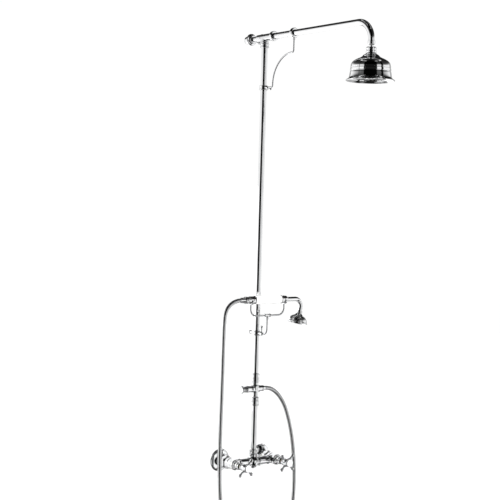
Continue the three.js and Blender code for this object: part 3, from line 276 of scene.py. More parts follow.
def tube(path, radius, sides=SMALL_SIDES, bore=0, ridge=None):
    """A tube along points in metres. ridge gives the radius at a turn round it and a way along."""
    points = [Vector(point) for point in path]
    ways = [(after - before).normalized() for before, after in
            zip([points[0]] + points[:-1], points[1:] + [points[-1]])]
    side_way = ways[0].orthogonal().normalized()
    corners, faces = [], []
    travelled = 0.0
    walls = [radius, bore] if bore else [radius]
    for index, (point, way) in enumerate(zip(points, ways)):
        if index:
            travelled += (point - points[index - 1]).length / MM
        side_way = (side_way - way * side_way.dot(way)).normalized()
        other_way = way.cross(side_way)
        for wall in walls:
            for side in range(sides):
                angle = 2 * pi * side / sides
                size = ridge(angle, travelled) if ridge else wall
                round_way = side_way * cos(angle) + other_way * sin(angle)
                corners.append((point / MM) + round_way * size)
    ring = sides * len(walls)
    for index in range(len(points) - 1):
        for wall in range(len(walls)):
            first = index * ring + wall * sides
            for side in range(sides):
                other = (side + 1) % sides
                faces.append((first + side, first + other, first + ring + other,
                              first + ring + side))
    for end in (0, (len(points) - 1) * ring):
        if bore:
            faces += [(end + side, end + (side + 1) % sides, end + sides + (side + 1) % sides,
                       end + sides + side) for side in range(sides)]
        else:
            faces.append(tuple(range(end, end + sides)))
    return outward(new_mesh(corners, faces))


def bend(start, heading, turning, radius, degrees=90, steps=14):
    """Points on an arc that leaves start along heading and turns towards turning."""
    return [start + heading * (radius * sin(radians(degrees * step / steps)))
            + turning * (radius * (1 - cos(radians(degrees * step / steps))))
            for step in range(steps + 1)]


def straight(start, end, steps=4):
    return [start.lerp(end, step / steps) for step in range(steps + 1)]


def joined(*runs):
    """Runs of points end to end, without the points that repeat."""
    points = []
    for run in runs:
        for point in run:
            if not points or (point - points[-1]).length > 0.05 * MM:
                points.append(point)
    return points


def as_object(data, name="shape"):
    obj = bpy.data.objects.new(name, data)
    bpy.context.scene.collection.objects.link(obj)
    return obj


def carved(added, removed=()):
    """The union of some meshes, less some others."""
    base = as_object(added[0])
    for operation, meshes in (("UNION", added[1:]), ("DIFFERENCE", removed)):
        for mesh in meshes:
            other = as_object(mesh)
            modifier = base.modifiers.new("join", "BOOLEAN")
            modifier.operation, modifier.solver, modifier.object = operation, "EXACT", other
            bpy.context.view_layer.update()
            result = bpy.data.meshes.new_from_object(
                base.evaluated_get(bpy.context.evaluated_depsgraph_get()))
            base.modifiers.clear()
            base.data = result
            bpy.data.objects.remove(other)
    mesh = base.data
    bpy.data.objects.remove(base)
    return mesh


# ---- finishes

def finish_nodes(name):
    material = bpy.data.materials.new(name)
    material.use_nodes = True
    tree = material.node_tree
    shader = tree.nodes["Principled BSDF"]
    place = tree.nodes.new("ShaderNodeTexCoord")
    return material, tree, shader, place


def feed(tree, value, socket):
    """A value set on a socket, or an output linked to it."""
    if isinstance(value, (int, float, tuple)):
        socket.default_value = value
    else:
        tree.links.new(value, socket)


def noise(tree, place, scale, detail=4.0, roughness=0.55):
    node = tree.nodes.new("ShaderNodeTexNoise")
    node.inputs["Scale"].default_value = scale
    node.inputs["Detail"].default_value = detail
    node.inputs["Roughness"].default_value = roughness
    feed(tree, place.outputs["Object"], node.inputs["Vector"])
    return node.outputs["Fac"]


def ramp(tree, factor, stops):
    node = tree.nodes.new("ShaderNodeValToRGB")
    elements = node.color_ramp.elements
    while len(elements) < len(stops):
        elements.new(0.5)
    for element, (position, colour) in zip(elements, stops):
        element.position = position
        element.color = (*colour, 1) if isinstance(colour, tuple) else (colour, colour, colour, 1)
    feed(tree, factor, node.inputs["Fac"])
    return node.outputs["Color"]


def to_range(tree, value, smallest, largest):
    node = tree.nodes.new("ShaderNodeMapRange")
    node.inputs["To Min"].default_value = smallest
    node.inputs["To Max"].default_value = largest
    feed(tree, value, node.inputs["Value"])
    return node.outputs["Result"]


def bumped(tree, shader, height, distance, strength=0.4):
    node = tree.nodes.new("ShaderNodeBump")
    node.inputs["Distance"].default_value = distance
    node.inputs["Strength"].default_value = strength
    feed(tree, height, node.inputs["Height"])
    feed(tree, node.outputs["Normal"], shader.inputs["Normal"])


def metal(name, dark, light, smooth, rough, grain, lathe_rings=False):
    """A metal: cloudy tone, smears in the roughness, and polishing or turning marks in the bump."""
    material, tree, shader, place = finish_nodes(name)
    shader.inputs["Metallic"].default_value = 1.0
    tone = ramp(tree, noise(tree, place, 28), [(0.3, dark), (0.7, light)])
    feed(tree, tone, shader.inputs["Base Color"])
    smear = to_range(tree, noise(tree, place, 65, 6.0, 0.65), smooth, rough)
    feed(tree, smear, shader.inputs["Roughness"])
    marks = noise(tree, place, grain, 3.0)
    if lathe_rings:
        wave = tree.nodes.new("ShaderNodeTexWave")
        wave.wave_type = "RINGS"
        wave.inputs["Scale"].default_value = 900
        wave.inputs["Distortion"].default_value = 0.6
        feed(tree, place.outputs["Object"], wave.inputs["Vector"])
        marks = wave.outputs["Fac"]
    bumped(tree, shader, marks, 0.02 * MM, 0.15 if not lathe_rings else 0.5)
    return material


def porcelain_finish():
    material, tree, shader, place = finish_nodes("porcelain")
    tone = ramp(tree, noise(tree, place, 40),
                [(0.35, (0.955, 0.952, 0.945)), (0.65, (0.975, 0.973, 0.968))])
    feed(tree, tone, shader.inputs["Base Color"])
    feed(tree, to_range(tree, noise(tree, place, 90), 0.08, 0.16), shader.inputs["Roughness"])
    shader.inputs["Coat Weight"].default_value = 0.8
    shader.inputs["Coat Roughness"].default_value = 0.03
    bumped(tree, shader, noise(tree, place, 150, 2.0), 0.08 * MM, 0.12)
    return material


def nylon_finish():
    material, tree, shader, place = finish_nodes("nylon")
    tone = ramp(tree, noise(tree, place, 120), [(0.3, (0.76, 0.75, 0.71)),
                                                (0.7, (0.84, 0.83, 0.8))])
    feed(tree, tone, shader.inputs["Base Color"])
    feed(tree, to_range(tree, noise(tree, place, 300), 0.4, 0.55), shader.inputs["Roughness"])
    bumped(tree, shader, noise(tree, place, 1200, 2.0), 0.05 * MM, 0.3)
    return material


# name, dark and light tones, the smoothest and roughest places, grain
FINISHES = {
    "chrome": metal("chrome", (0.84, 0.845, 0.855), (0.93, 0.935, 0.94), 0.02, 0.075, 900),
    "brass": metal("brass", (0.62, 0.45, 0.2), (0.78, 0.6, 0.3), 0.22, 0.4, 700, True),
    "hose": metal("hose", (0.6, 0.603, 0.61), (0.7, 0.703, 0.71), 0.16, 0.28, 1500),
    "porcelain": porcelain_finish(),
    "nylon": nylon_finish(),
}

SATIN = metal("satin_chrome", (0.8, 0.805, 0.815), (0.9, 0.905, 0.91), 0.2, 0.32, 900)
SLIM = metal("slim_chrome", (0.58, 0.585, 0.595), (0.7, 0.705, 0.715), 0.08, 0.18, 900)
SPECIAL_FINISH = {
    "arm_tee": SATIN, "arm_stub_pipe": SATIN, "stay_tube": SATIN,
    "handset_rose_shell": SATIN, "diverter_knob": SATIN,
    "brace_rod": SLIM, "cradle_fork": SLIM, "cradle_stem": SLIM,
}


# ---- standing in for CAD nodes

def stand_for(node, mesh, sharp=28):
    """The mesh becomes the piece that stands for a CAD node: its finish, taken from its slot unless
    a special one is listed, and its body.
    """
    piece = as_object(mesh, node + "_fine")
    mesh.name = node
    mesh.polygons.foreach_set("use_smooth", [True] * len(mesh.polygons))
    mesh.set_sharp_from_angle(angle=radians(sharp))
    mesh.materials.clear()
    mesh.materials.append(SPECIAL_FINISH.get(node, FINISHES[SLOT_OF[node]]))
    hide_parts(node)
    if node != "shower_hose":
        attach(piece, BODY_OF[node])
    return piece


def turned_piece(node, direction, make, sides=SIDES, edge=EDGE):
    """A turned piece in a node's place: make(length, radius) gives its profile."""
    start, length, radius = along(node, direction)
    return stand_for(node, aimed(turned(make(length, radius), sides, edge), direction, start))


# ---- camera

CAMERA_TURN = radians(37.08)
CAMERA_TILT = radians(-1.88)
CAMERA_ROLL = radians(1.59)
CAMERA_LENS = 85
CAMERA_FROM_RISER = 3.41
CAMERA_ASIDE = -0.026
CAMERA_HEIGHT = 0.7255


def add_camera():
    """A camera to the left of straight ahead, a little below the middle, leaning slightly."""
    riser = middle("upper_riser")
    level = Vector((sin(CAMERA_TURN), cos(CAMERA_TURN), 0))
    across = level.cross(UP)
    ahead = level * cos(CAMERA_TILT) + UP * sin(CAMERA_TILT)
    upright = across.cross(ahead)
    right = across * cos(CAMERA_ROLL) + upright * sin(CAMERA_ROLL)
    top = upright * cos(CAMERA_ROLL) - across * sin(CAMERA_ROLL)
    data = bpy.data.cameras.new("camera")
    data.lens = CAMERA_LENS
    camera = as_object(data, "camera")
    place = (Vector((riser.x, riser.y, CAMERA_HEIGHT)) - level * CAMERA_FROM_RISER
             + across * CAMERA_ASIDE)
    turn = Matrix((right, top, -ahead)).transposed().to_4x4()
    camera.matrix_world = Matrix.Translation(place) @ turn
    bpy.context.scene.camera = camera


# ---- hose

# The control points of a cubic spline, the route that the CAD hose follows.
HOSE_ROUTE = [
    (33.3, -65, 212), (41, -65, 212), (53, -65.7, 210.3), (66, -66.5, 204), (79, -67.8, 194),
    (91, -69.2, 180.5), (101.5, -71, 164), (110, -73, 145), (118, -75, 120), (126, -77, 90),
    (131.5, -79, 60), (135.5, -81, 30), (138, -84, -12), (138, -86.5, -50), (136.5, -89, -88),
    (132.5, -91.5, -128), (124, -94, -170), (109, -97, -212), (86, -100, -250), (54, -103, -280),
    (18, -106, -297), (-20, -108.5, -299), (-56, -110.5, -287), (-89, -111.5, -261),
    (-114, -112, -224), (-131, -112, -180), (-142, -112, -132), (-149, -112, -80),
    (-153, -112, -24), (-155, -112, 50), (-154, -112, 150), (-152.5, -112, 270),
    (-152, -112, 380), (-151, -112, 424), (-147.2, -112, 443.1), (-136.4, -112, 459.4),
    (-120.1, -112, 470.2), (-101, -112, 474), (-99.5, -112, 474), (-99.3, -112, 474),
]
HOSE_DIAMETER = 12
HOSE_PITCH = 3.4
HOSE_GROOVE = 0.55
HOSE_STEP = 0.85
SPLINE_SAMPLES = 60


def spline_points(controls, step):
    """Points a step apart on the clamped cubic spline of some control points, in metres."""
    degree, count = 3, len(controls)
    knots = [0] * degree + list(range(count - degree + 1)) + [count - degree] * degree
    fine = []
    samples = (count - degree) * SPLINE_SAMPLES
    for sample in range(samples + 1):
        place = (count - degree) * sample / samples
        span = min(int(place), count - degree - 1) + degree
        work = [Vector(controls[span - degree + index]) for index in range(degree + 1)]
        for level in range(1, degree + 1):
            for index in range(degree, level - 1, -1):
                left = knots[span - degree + index]
                right = knots[span + 1 + index - level]
                share = (place - left) / (right - left)
                work[index] = work[index - 1].lerp(work[index], share)
        fine.append(work[degree] * MM)
    even, travelled = [fine[0]], 0.0
    for before, after in zip(fine, fine[1:]):
        gap = (after - before).length
        while gap > 0 and travelled + gap >= step * MM:
            part = (step * MM - travelled) / gap
            before = before.lerp(after, part)
            even.append(before)
            gap = (after - before).length
            travelled = 0.0
        travelled += gap
    even[-1] = fine[-1]
    return even


def hose_ridge(angle, travelled):
    """A spiral strip: rounded crowns with a groove where one turn folds into the next."""
    phase = (travelled / HOSE_PITCH - angle / (2 * pi)) % 1.0
    return HOSE_DIAMETER / 2 - HOSE_GROOVE * abs(cos(pi * phase)) ** 5


def add_hose():
    path = spline_points(HOSE_ROUTE, HOSE_STEP)
    hose = stand_for("shower_hose", tube(path, HOSE_DIAMETER / 2, 20, 0, hose_ridge), 60)
    return hose


add_camera()
bpy.context.scene.view_settings.view_transform = "Standard"
hose = add_hose()


# ---- studio

FLOOR_DROP = 0.95
FLOOR_RADIUS = 14
SUN_ENERGY = 4.9
SUN_SPREAD = 150
SUN_TURN = (42, -24)
SCREEN_SIZE = (2.6, 0.76)
SCREEN_GLOW = 1.0
SCREEN_BEHIND = 0.7
SCREEN_HEIGHT = 0.44
WHITE = (1, 1, 1, 1)
SURROUND_STRENGTH = 1.02
DARK = 0.012
# (turn, width, brightness) of the dark stretches, in degrees. A turn round the horizon is
# counted from straight out into the room, towards +X.
DARK_STRETCHES = [(-111, 3, 0.15), (-44, 76, DARK), (27, 14, DARK), (143, 100, 0.46)]
STRETCH_EDGE = 2.0
# (degrees above the horizon, brightness)
RISE_STOPS = [(-90, 1.0), (15, 1.0), (22, 0.12), (30, 0.03), (56, 0.02), (58, 0.8), (61, 0.8),
              (63, 0.02), (90, 0.02)]
PATCH_STOPS = [(0.46, 0.03), (0.54, 0.4), (0.62, 1.0)]
PATCHES_FULL, PATCHES_GONE = -52, -40


def add_studio():
    """A pale floor, a wide soft lamp, and a bright surround with a dark room behind the camera."""
    riser = middle("upper_riser")
    bpy.ops.mesh.primitive_circle_add(vertices=96, radius=FLOOR_RADIUS, fill_type="NGON",
                                      location=(riser.x, riser.y, -FLOOR_DROP))
    floor = bpy.context.object
    floor.name = "floor"
    material, tree, shader, place = finish_nodes("floor")
    tone = ramp(tree, noise(tree, place, 3), [(0.3, 0.93), (0.7, 0.95)])
    feed(tree, tone, shader.inputs["Base Color"])
    shader.inputs["Roughness"].default_value = 0.9
    floor.data.materials.append(material)
    floor.visible_glossy = False
    lamp = bpy.data.lights.new("overhead", "SUN")
    lamp.energy = SUN_ENERGY
    lamp.angle = radians(SUN_SPREAD)
    overhead = as_object(lamp, "overhead")
    overhead.rotation_euler = (radians(SUN_TURN[0]), radians(SUN_TURN[1]), 0)
    overhead.visible_glossy = False
    screen = bpy.data.lights.new("low_screen", "AREA")
    screen.shape = "RECTANGLE"
    screen.size, screen.size_y = SCREEN_SIZE
    screen.energy = SCREEN_GLOW * pi * screen.size * screen.size_y
    behind = as_object(screen, "low_screen")
    behind.location = (riser.x, riser.y + SCREEN_BEHIND, SCREEN_HEIGHT)
    behind.rotation_euler = (radians(-90), 0, 0)
    behind.visible_camera = False
    add_surround()


def blend_colours(tree, kind, share, first, second):
    node = tree.nodes.new("ShaderNodeMix")
    node.data_type, node.blend_type = "RGBA", kind
    for socket, value in (("Factor", share), ("A", first), ("B", second)):
        feed(tree, value, node.inputs[socket])
    return node.outputs["Result"]


def add_surround():
    world = bpy.data.worlds.new("surround")
    bpy.context.scene.world = world
    world.use_nodes = True
    tree = world.node_tree
    shader = tree.nodes["Background"]
    place = tree.nodes.new("ShaderNodeTexCoord")
    parts = tree.nodes.new("ShaderNodeSeparateXYZ")
    feed(tree, place.outputs["Generated"], parts.inputs["Vector"])

    def maths(operation, first, second=None):
        node = tree.nodes.new("ShaderNodeMath")
        node.operation = operation
        for socket, value in zip(node.inputs, (first, second)):
            if value is not None:
                feed(tree, value, socket)
        return node.outputs["Value"]

    facing = maths("MULTIPLY", parts.outputs["Y"], -1.0)
    turn = maths("ARCTAN2", parts.outputs["X"], facing)
    round_share = maths("ADD", maths("DIVIDE", turn, 2 * pi), 0.5)
    rise = maths("ADD", maths("DIVIDE", maths("ARCSINE", parts.outputs["Z"]), pi), 0.5)
    around = ramp(tree, round_share, turn_stops())
    above = ramp(tree, rise, [(share / 180 + 0.5, value) for share, value in RISE_STOPS])
    cloud = tree.nodes.new("ShaderNodeTexNoise")
    cloud.inputs["Scale"].default_value = 3.2
    cloud.inputs["Detail"].default_value = 1.5
    feed(tree, place.outputs["Generated"], cloud.inputs["Vector"])
    patches = ramp(tree, cloud.outputs["Fac"], PATCH_STOPS)
    lower_share = ramp(tree, rise, [(0.5 + PATCHES_FULL / 180, 1.0),
                                    (0.5 + PATCHES_GONE / 180, 0.0)])
    below = blend_colours(tree, "MIX", lower_share, WHITE, patches)
    product = blend_colours(tree, "MULTIPLY", 1.0, around, above)
    product = blend_colours(tree, "MULTIPLY", 1.0, product, below)
    rays = tree.nodes.new("ShaderNodeLightPath")
    seen = blend_colours(tree, "MIX", rays.outputs["Is Camera Ray"], product, WHITE)
    feed(tree, seen, shader.inputs["Color"])
    shader.inputs["Strength"].default_value = SURROUND_STRENGTH


def turn_stops():
    """The brightness round the horizon: white, with the dark stretches let in."""
    stops = []
    for centre, width, brightness in DARK_STRETCHES:
        outer, inner = width / 2 + STRETCH_EDGE, width / 2 - STRETCH_EDGE / 2
        for turn, value in ((-outer, 1.0), (-inner, brightness), (inner, brightness),
                            (outer, 1.0)):
            stops.append(((centre + turn) / 360 + 0.5, value))
    return stops


add_studio()


# ---- wall inlets and mixer body

def flange_profile(length, radius):
    """Two steps at the rim, then a hollow flare that rises to a thin collar."""
    rim = radius - 6.5
    collar = 13.5
    flare = [(collar + 15.5 * (1 - share) ** 2.1, 8.8 + (length - 11.8) * share)
             for share in [step / 9 for step in range(10)]]
    return [(rim, 0), (radius, 0), (radius, 3.2), (radius - 1, 4.3), (radius - 3.2, 4.5),
            (radius - 3.6, 5), (radius - 3.6, 7.2), (radius - 4.4, 8.2), *flare,
            (collar, length), (10.8, length), (10.8, length - 5), (14.8, length - 9),
            (rim - 5, 6), (rim, 3)]


def threaded(radius, bottom, top, pitch=1.8, depth=0.7):
    """The outline of a screw thread, from its bottom to its top."""
    turns = int((top - bottom) / pitch)
    step = (top - bottom) / turns
    outline = []
    for turn in range(turns):
        start = bottom + turn * step
        outline += [(radius - depth, start), (radius, start + step * 0.35),
                    (radius, start + step * 0.6)]
    return outline + [(radius - depth, top)]


def tail_profile(length, radius):
    pipe = TAIL_RADIUS
    return [(TAIL_BORE, 0), *threaded(pipe, 0.8, 15), (pipe, 16), (pipe, length - 3.4),
            (radius, length - 3), (radius, length), (TAIL_BORE, length)]


def union_nut(node):
    start, length, radius = along(node, OUT)
    shape = carved([hexagon(2 * radius * 0.985, 0, length, 1.3)],
                   [turned([(0, -2), (10.8, -2), (10.8, 2), (13.3, 2.2), (13.3, length + 2),
                            (0, length + 2)], edge=0)])
    stand_for(node, aimed(shape, OUT, start))


def valve_body():
    node = "valve_body"
    left_tap, right_tap = middle("left_spindle"), middle("right_spindle")
    centre = (left_tap + right_tap) / 2
    centre.y = middle("lower_riser").y
    half = (right_tap.x - left_tap.x) / 2 / MM
    top = (high(node).z - centre.z) / MM
    foot = (centre.z - low(node).z) / MM
    front = (centre.y - low(node).y) / MM
    back = (high(node).y - centre.y) / MM
    pipe, wide = BAR_RADIUS, CHAMBER_RADIUS
    bar = turned(both_ends([
        (0, -half), (pipe, -half), (pipe, 20 - half), (pipe + 1.6, 21 - half),
        (pipe + 1.6, 24 - half), (pipe, 25 - half), (pipe - 0.6, -22), (pipe + 1.2, -20),
        (pipe + 1.2, -17), (pipe, -15.5)]))
    stem = turned([(0, -foot), (4, -foot), (5.2, 1.4 - foot), (5.2, 2.4 - foot), (9, 3 - foot),
                   (11, 6 - foot), (14.2, -9), (17, -1), (16.6, 5), (13, 11), (11, 14.5),
                   (11, top - 1), (10.6, top), (0, top)])
    added = [aimed(bar, RIGHT, centre), aimed(stem, UP, centre)]
    removed = [aimed(rod(PIPE_SOCKET, top - 10, top + 1), UP, centre)]
    for tap in (left_tap, right_tap):
        at = Vector((tap.x, centre.y, centre.z))
        added.append(aimed(turned([
            (0, -back), (13, -back), (13, -19), (14.6, -18.6), (wide, -17), (wide, -8), (14.6, -6),
            (14.6, 7), (wide, 9), (wide, front - 1.5), (14.4, front), (0, front)]), OUT, at))
        removed.append(aimed(turned([(0, -back - 1), (7.5, -back - 1), (7.5, -9), (11, -8),
                                     (11, front + 1), (0, front + 1)], edge=0), OUT, at))
    stand_for(node, carved(added, removed))


def bonnet_profile(length, radius):
    """Thread, flange, a slim barrel with two beads, and a gland cap."""
    seat = length - 23.7
    return [(SPINDLE_BORE, 0), (10.7, 0), (10.7, seat), (radius, seat), (radius, seat + 3),
            (radius - 1, seat + 4),
            (radius - 3, seat + 4.4), (10.6, seat + 5), (10.6, seat + 11), (11.4, seat + 11.6),
            (11.4, seat + 13.4), (10.6, seat + 14), (9.8, seat + 17), (9.8, seat + 19.6),
            (8.8, seat + 20.6), (7.2, length), (SPINDLE_BORE, length)]


def crosshead(node):
    """A turned hub with four spokes on a ring bead, each ending in a ball."""
    start, _, _ = along(node, OUT)
    hub, front = 12.5, (start.y - low(node).y) / MM
    spokes_at = front - 12
    added = [turned([
        (0, 0), (9.2, 0), (10.4, 1.4), (9.6, 3), (8.6, 5.4), (8.6, 7.4), (9.8, 10),
        (11.8, spokes_at - 5),
        (hub, spokes_at - 3.6), (hub, spokes_at + 3.6), (11.4, spokes_at + 5.4),
        (10.6, spokes_at + 7.2), (11.7, front - 2.6), (11.7, front - 1), (10.9, front),
        (0, front)])]
    tips = high(node).x - middle(node).x
    tip = tips / MM / cos(pi / 4) - TIP_BALL * (1 / cos(pi / 4) - 1)
    tip_at = tip - TIP_BALL
    for arm in range(4):
        angle = radians(45 + 90 * arm)
        way = Vector((cos(angle), sin(angle), 0))
        spoke = turned([(0, 0), (4.7, 0), (4.7, hub + 0.6), (4.2, hub + 1.4), (3.5, hub + 3),
                        (3.1, tip_at - 6), (4.1, tip_at - 4.6),
                        (4.1, tip_at - 3.6), (3, tip_at - 2.6), (3, tip_at),
                        (0, tip_at)], SMALL_SIDES)
        at = Vector((0, 0, spokes_at)) * MM
        added.append(aimed(spoke, way, at))
        added.append(aimed(ball(TIP_BALL, tip_at + 0.4), way, at))
    shape = carved(added, [
        rod(SPINDLE_BORE, -1, spokes_at - 3.7, SMALL_SIDES),
        rod(9.3, front - 2, front + 1)])
    stand_for(node, aimed(shape, OUT, start))


def dome_profile(length, radius):
    base = length * 0.5
    crown = arc(radius, base, 0, 90, 12, length - base)[:-1]
    return [(0, 0), (radius, 0), *crown, (0, length)]


def inlets_and_taps():
    for side in ("left", "right"):
        turned_piece(f"{side}_wall_flange", OUT, flange_profile, 96)
        turned_piece(f"{side}_inlet_tail", OUT, tail_profile)
        union_nut(f"{side}_union_nut")
        turned_piece(f"{side}_bonnet", OUT, bonnet_profile)
        turned_piece(f"{side}_spindle", OUT, lambda length, radius: [
            (0, 0), (radius, 0), (radius, length - 14), (radius - 0.5, length - 13),
            (radius - 0.5, length - 12), (radius, length - 11), (radius, length), (0, length)])
        crosshead(f"{side}_crosshead")
        turned_piece(f"{side}_index_button", OUT, dome_profile)


# ---- riser and diverter

def pipe_profile(length, radius):
    return both_ends([(radius - 1.2, 0), (radius, 0)], length)


def nut_profile(length, radius):
    """A round pipe nut: a plain band between two beads, slightly tapered."""
    bore = PIPE_SOCKET
    return [(bore, 0), (radius - 1.2, 0), (radius, 0.9), (radius, 2.6), (radius - 0.9, 3.3),
            (radius - 1.3, length * 0.5), (radius - 0.9, length - 3.3), (radius, length - 2.6),
            (radius, length - 0.9), (radius - 1.2, length), (bore, length)]


def diverter_body():
    node = "diverter_body"
    centre = middle("hose_outlet_nut")
    centre.x = middle("lower_riser").x
    left, right = (centre.x - low(node).x) / MM, (high(node).x - centre.x) / MM
    top, foot = (high(node).z - centre.z) / MM, (centre.z - low(node).z) / MM
    column = turned([
        (0, -foot), (10.4, -foot), (11.2, 1 - foot), (11.2, 2 - foot), (13, 3 - foot),
        (13, 7.6 - foot), (11.4, 8.6 - foot), (9.4, 10.4 - foot), (9, -12), (10.6, -8), (10.6, 8),
        (9, 12), (9.4, top - 10.4), (11.4, top - 8.6), (13, top - 7.6), (13, top - 3),
        (11.2, top - 2), (11.2, top - 1), (10.4, top), (0, top)])
    barrel = turned([
        (0, -left), (10.4, -left), (11.2, 0.8 - left), (11.2, 3.4 - left), (10, 4.2 - left),
        (10, -15), (10.9, -14), (10.9, -12), (10, -11), (10, 11), (10.4, 12), (10.4, 13.6),
        (8.7, 14.4), (8.7, 21), (8.2, 21.8), (6.6, 22), (6.6, right), (0, right)])
    shape = carved([aimed(column, UP, centre), aimed(barrel, RIGHT, centre)], [
        aimed(rod(PIPE_SOCKET, -foot - 1, 10 - foot), UP, centre),
        aimed(rod(PIPE_SOCKET, top - 10, top + 1), UP, centre),
        aimed(turned([(0, -left - 1), (7.35, -left - 1), (7.35, 8), (4, 8), (4, right + 1),
                      (0, right + 1)], edge=0), RIGHT, centre)])
    stand_for(node, shape)


def knob_profile(length, radius):
    """A round knob, wide at its outer end, with a dished face and a neck."""
    return [(0, 0.9), (radius - 4.5, 0.5), (radius - 2.2, 0), (radius - 0.6, 0.8), (radius, 2.2),
            (radius, 3.6), (radius - 0.9, 4.6), (radius - 2.7, 6), (radius - 3.6, 8),
            (radius - 3.4, 10),
            (radius - 2.9, length), (3.8, length), (3.8, 3.6), (0, 3.6)]


def riser_and_diverter():
    for node in ("riser_base_nut", "diverter_lower_nut", "diverter_upper_nut", "riser_top_nut"):
        turned_piece(node, UP, nut_profile)
    for node in ("lower_riser", "upper_riser"):
        turned_piece(node, UP, pipe_profile, 72)
    diverter_body()
    turned_piece("diverter_knob", RIGHT, knob_profile)
    turned_piece("diverter_gland_nut", LEFT, lambda length, radius: [
        (3.85, 0), (7, 0), (7, length - 5.2), (radius, length - 5), (radius, length - 2),
        (radius - 0.8, length - 1.4), (radius - 1.4, length), (3.85, length)])
    turned_piece("hose_outlet_nut", RIGHT, lambda length, radius: [
        (6.9, 0), (radius - 0.4, 0), (radius, 0.7), (radius, 2.2), (radius - 0.5, 2.7),
        (radius, 3.2),
        (radius, 4.8), (radius - 0.7, 5.6), (7.2, length - 1.6), (6.9, length), (3.5, length),
        (3.5, 6.6), (6.9, 6)])


# ---- top arm, stay and brace

def arm_tee():
    node = "arm_tee"
    centre = middle("upper_riser")
    centre.z = middle("arm_stub_pipe").z
    back, front = (high(node).y - centre.y) / MM, (centre.y - low(node).y) / MM
    foot = (centre.z - low(node).z) / MM
    body = turned([
        (0, -back), (9.2, -back), (10, 1 - back), (10, -14), (10.8, -13), (10.8, -11), (10, -10),
        (10, front - 6), (11, front - 5), (11, front - 0.8), (10.2, front), (0, front)])
    socket = turned([(0, -foot), (10.6, -foot), (11.3, 0.7 - foot), (11.3, 4 - foot),
                     (10.4, 5 - foot), (10, -5), (10, 0), (0, 0)])
    shape = carved([aimed(body, OUT, centre), aimed(socket, UP, centre)], [
        aimed(rod(PIPE_SOCKET, front - 10, front + 1), OUT, centre),
        aimed(rod(STAY_SOCKET, -back - 1, 12 - back), OUT, centre),
        aimed(rod(PIPE_SOCKET, -foot - 1, 10 - foot), UP, centre)])
    stand_for(node, shape)


def thumb_screw(node, direction):
    """A slim shank, a collar and a ball grip, along the line of its own box."""
    reach = SCREW_SHANK + SCREW_BALL * 0.8
    shape = carved([turned([(0, 0), (1.6, 0), (2, 0.4), (2, 7.6), (3, 8), (3, 9.6), (1.7, 10.2),
                            (1.5, SCREW_SHANK), (0, SCREW_SHANK)], 32),
                    ball(SCREW_BALL, reach, 32)])
    half = (reach + SCREW_BALL) / 2 * MM
    start = middle(node) - direction * half
    if max(abs(part) for part in direction) < 0.999:
        grip = SCREW_BALL * MM
        ball_centre = Vector((high(node).x - grip, middle(node).y, low(node).z + grip))
        start = ball_centre - direction * (reach * MM)
    stand_for(node, aimed(shape, direction, start))


def shower_arm():
    node = "shower_arm"
    height = middle("arm_stub_pipe").z
    radius = PIPE_RADIUS * MM
    start = Vector((middle(node).x, high(node).y, height))
    end = Vector((start.x, low(node).y + radius, low(node).z))
    bend_radius = ARM_BEND * MM
    bend_start = Vector((start.x, end.y + bend_radius, height))
    curve = bend(bend_start, OUT, DOWN, bend_radius, 90, 32)
    path = joined(straight(start, bend_start, 24), curve, straight(curve[-1], end, 3))
    stand_for(node, tube(path, PIPE_RADIUS, SIDES, PIPE_BORE))


def arm_collar():
    node = "arm_brace_collar"
    start, length, _ = along(node, OUT)
    axis = Vector((middle(node).x, start.y, middle("arm_stub_pipe").z))
    radius = (high(node).z - axis.z) / MM
    stub_low = (axis.z - low(node).z) / MM
    band = turned(both_ends([(PIPE_SOCKET, 0), (radius - 2, 0), (radius - 1, 0.6),
                             (radius - 1, 1.8), (radius, 2.8)], length))
    stub = turned([(0, -stub_low), (3.6, -stub_low), (4, 0.4 - stub_low), (4, -radius - 1),
                   (5.4, -radius + 1.5), (5.4, -10), (0, -10)], SMALL_SIDES)
    centre = Vector((axis.x, middle(node).y, axis.z))
    shape = carved([aimed(band, OUT, axis), aimed(stub, UP, centre)], [
        aimed(rod(2.5, -stub_low - 1, -radius + 5, SMALL_SIDES), UP, centre)])
    stand_for(node, shape)


def brace_rod():
    node = "brace_rod"
    thick, knee, sweep = BRACE_ROD * MM, BRACE_KNEE * MM, BRACE_SWEEP * MM
    x = middle(node).x
    top = Vector((x, low(node).y + thick, high(node).z))
    foot = Vector((x, high(node).y, low(node).z + thick))
    drop_to = Vector((x, top.y, foot.z + knee + sweep + knee))
    first = bend(drop_to, DOWN, INWARD, knee, 90, 8)
    second = bend(first[-1], INWARD, DOWN, sweep, 90, 36)
    third = bend(second[-1], DOWN, INWARD, knee, 90, 8)
    path = joined(straight(top, drop_to), first, second, third, straight(third[-1], foot))
    stand_for(node, tube(path, BRACE_ROD, ROD_SIDES))


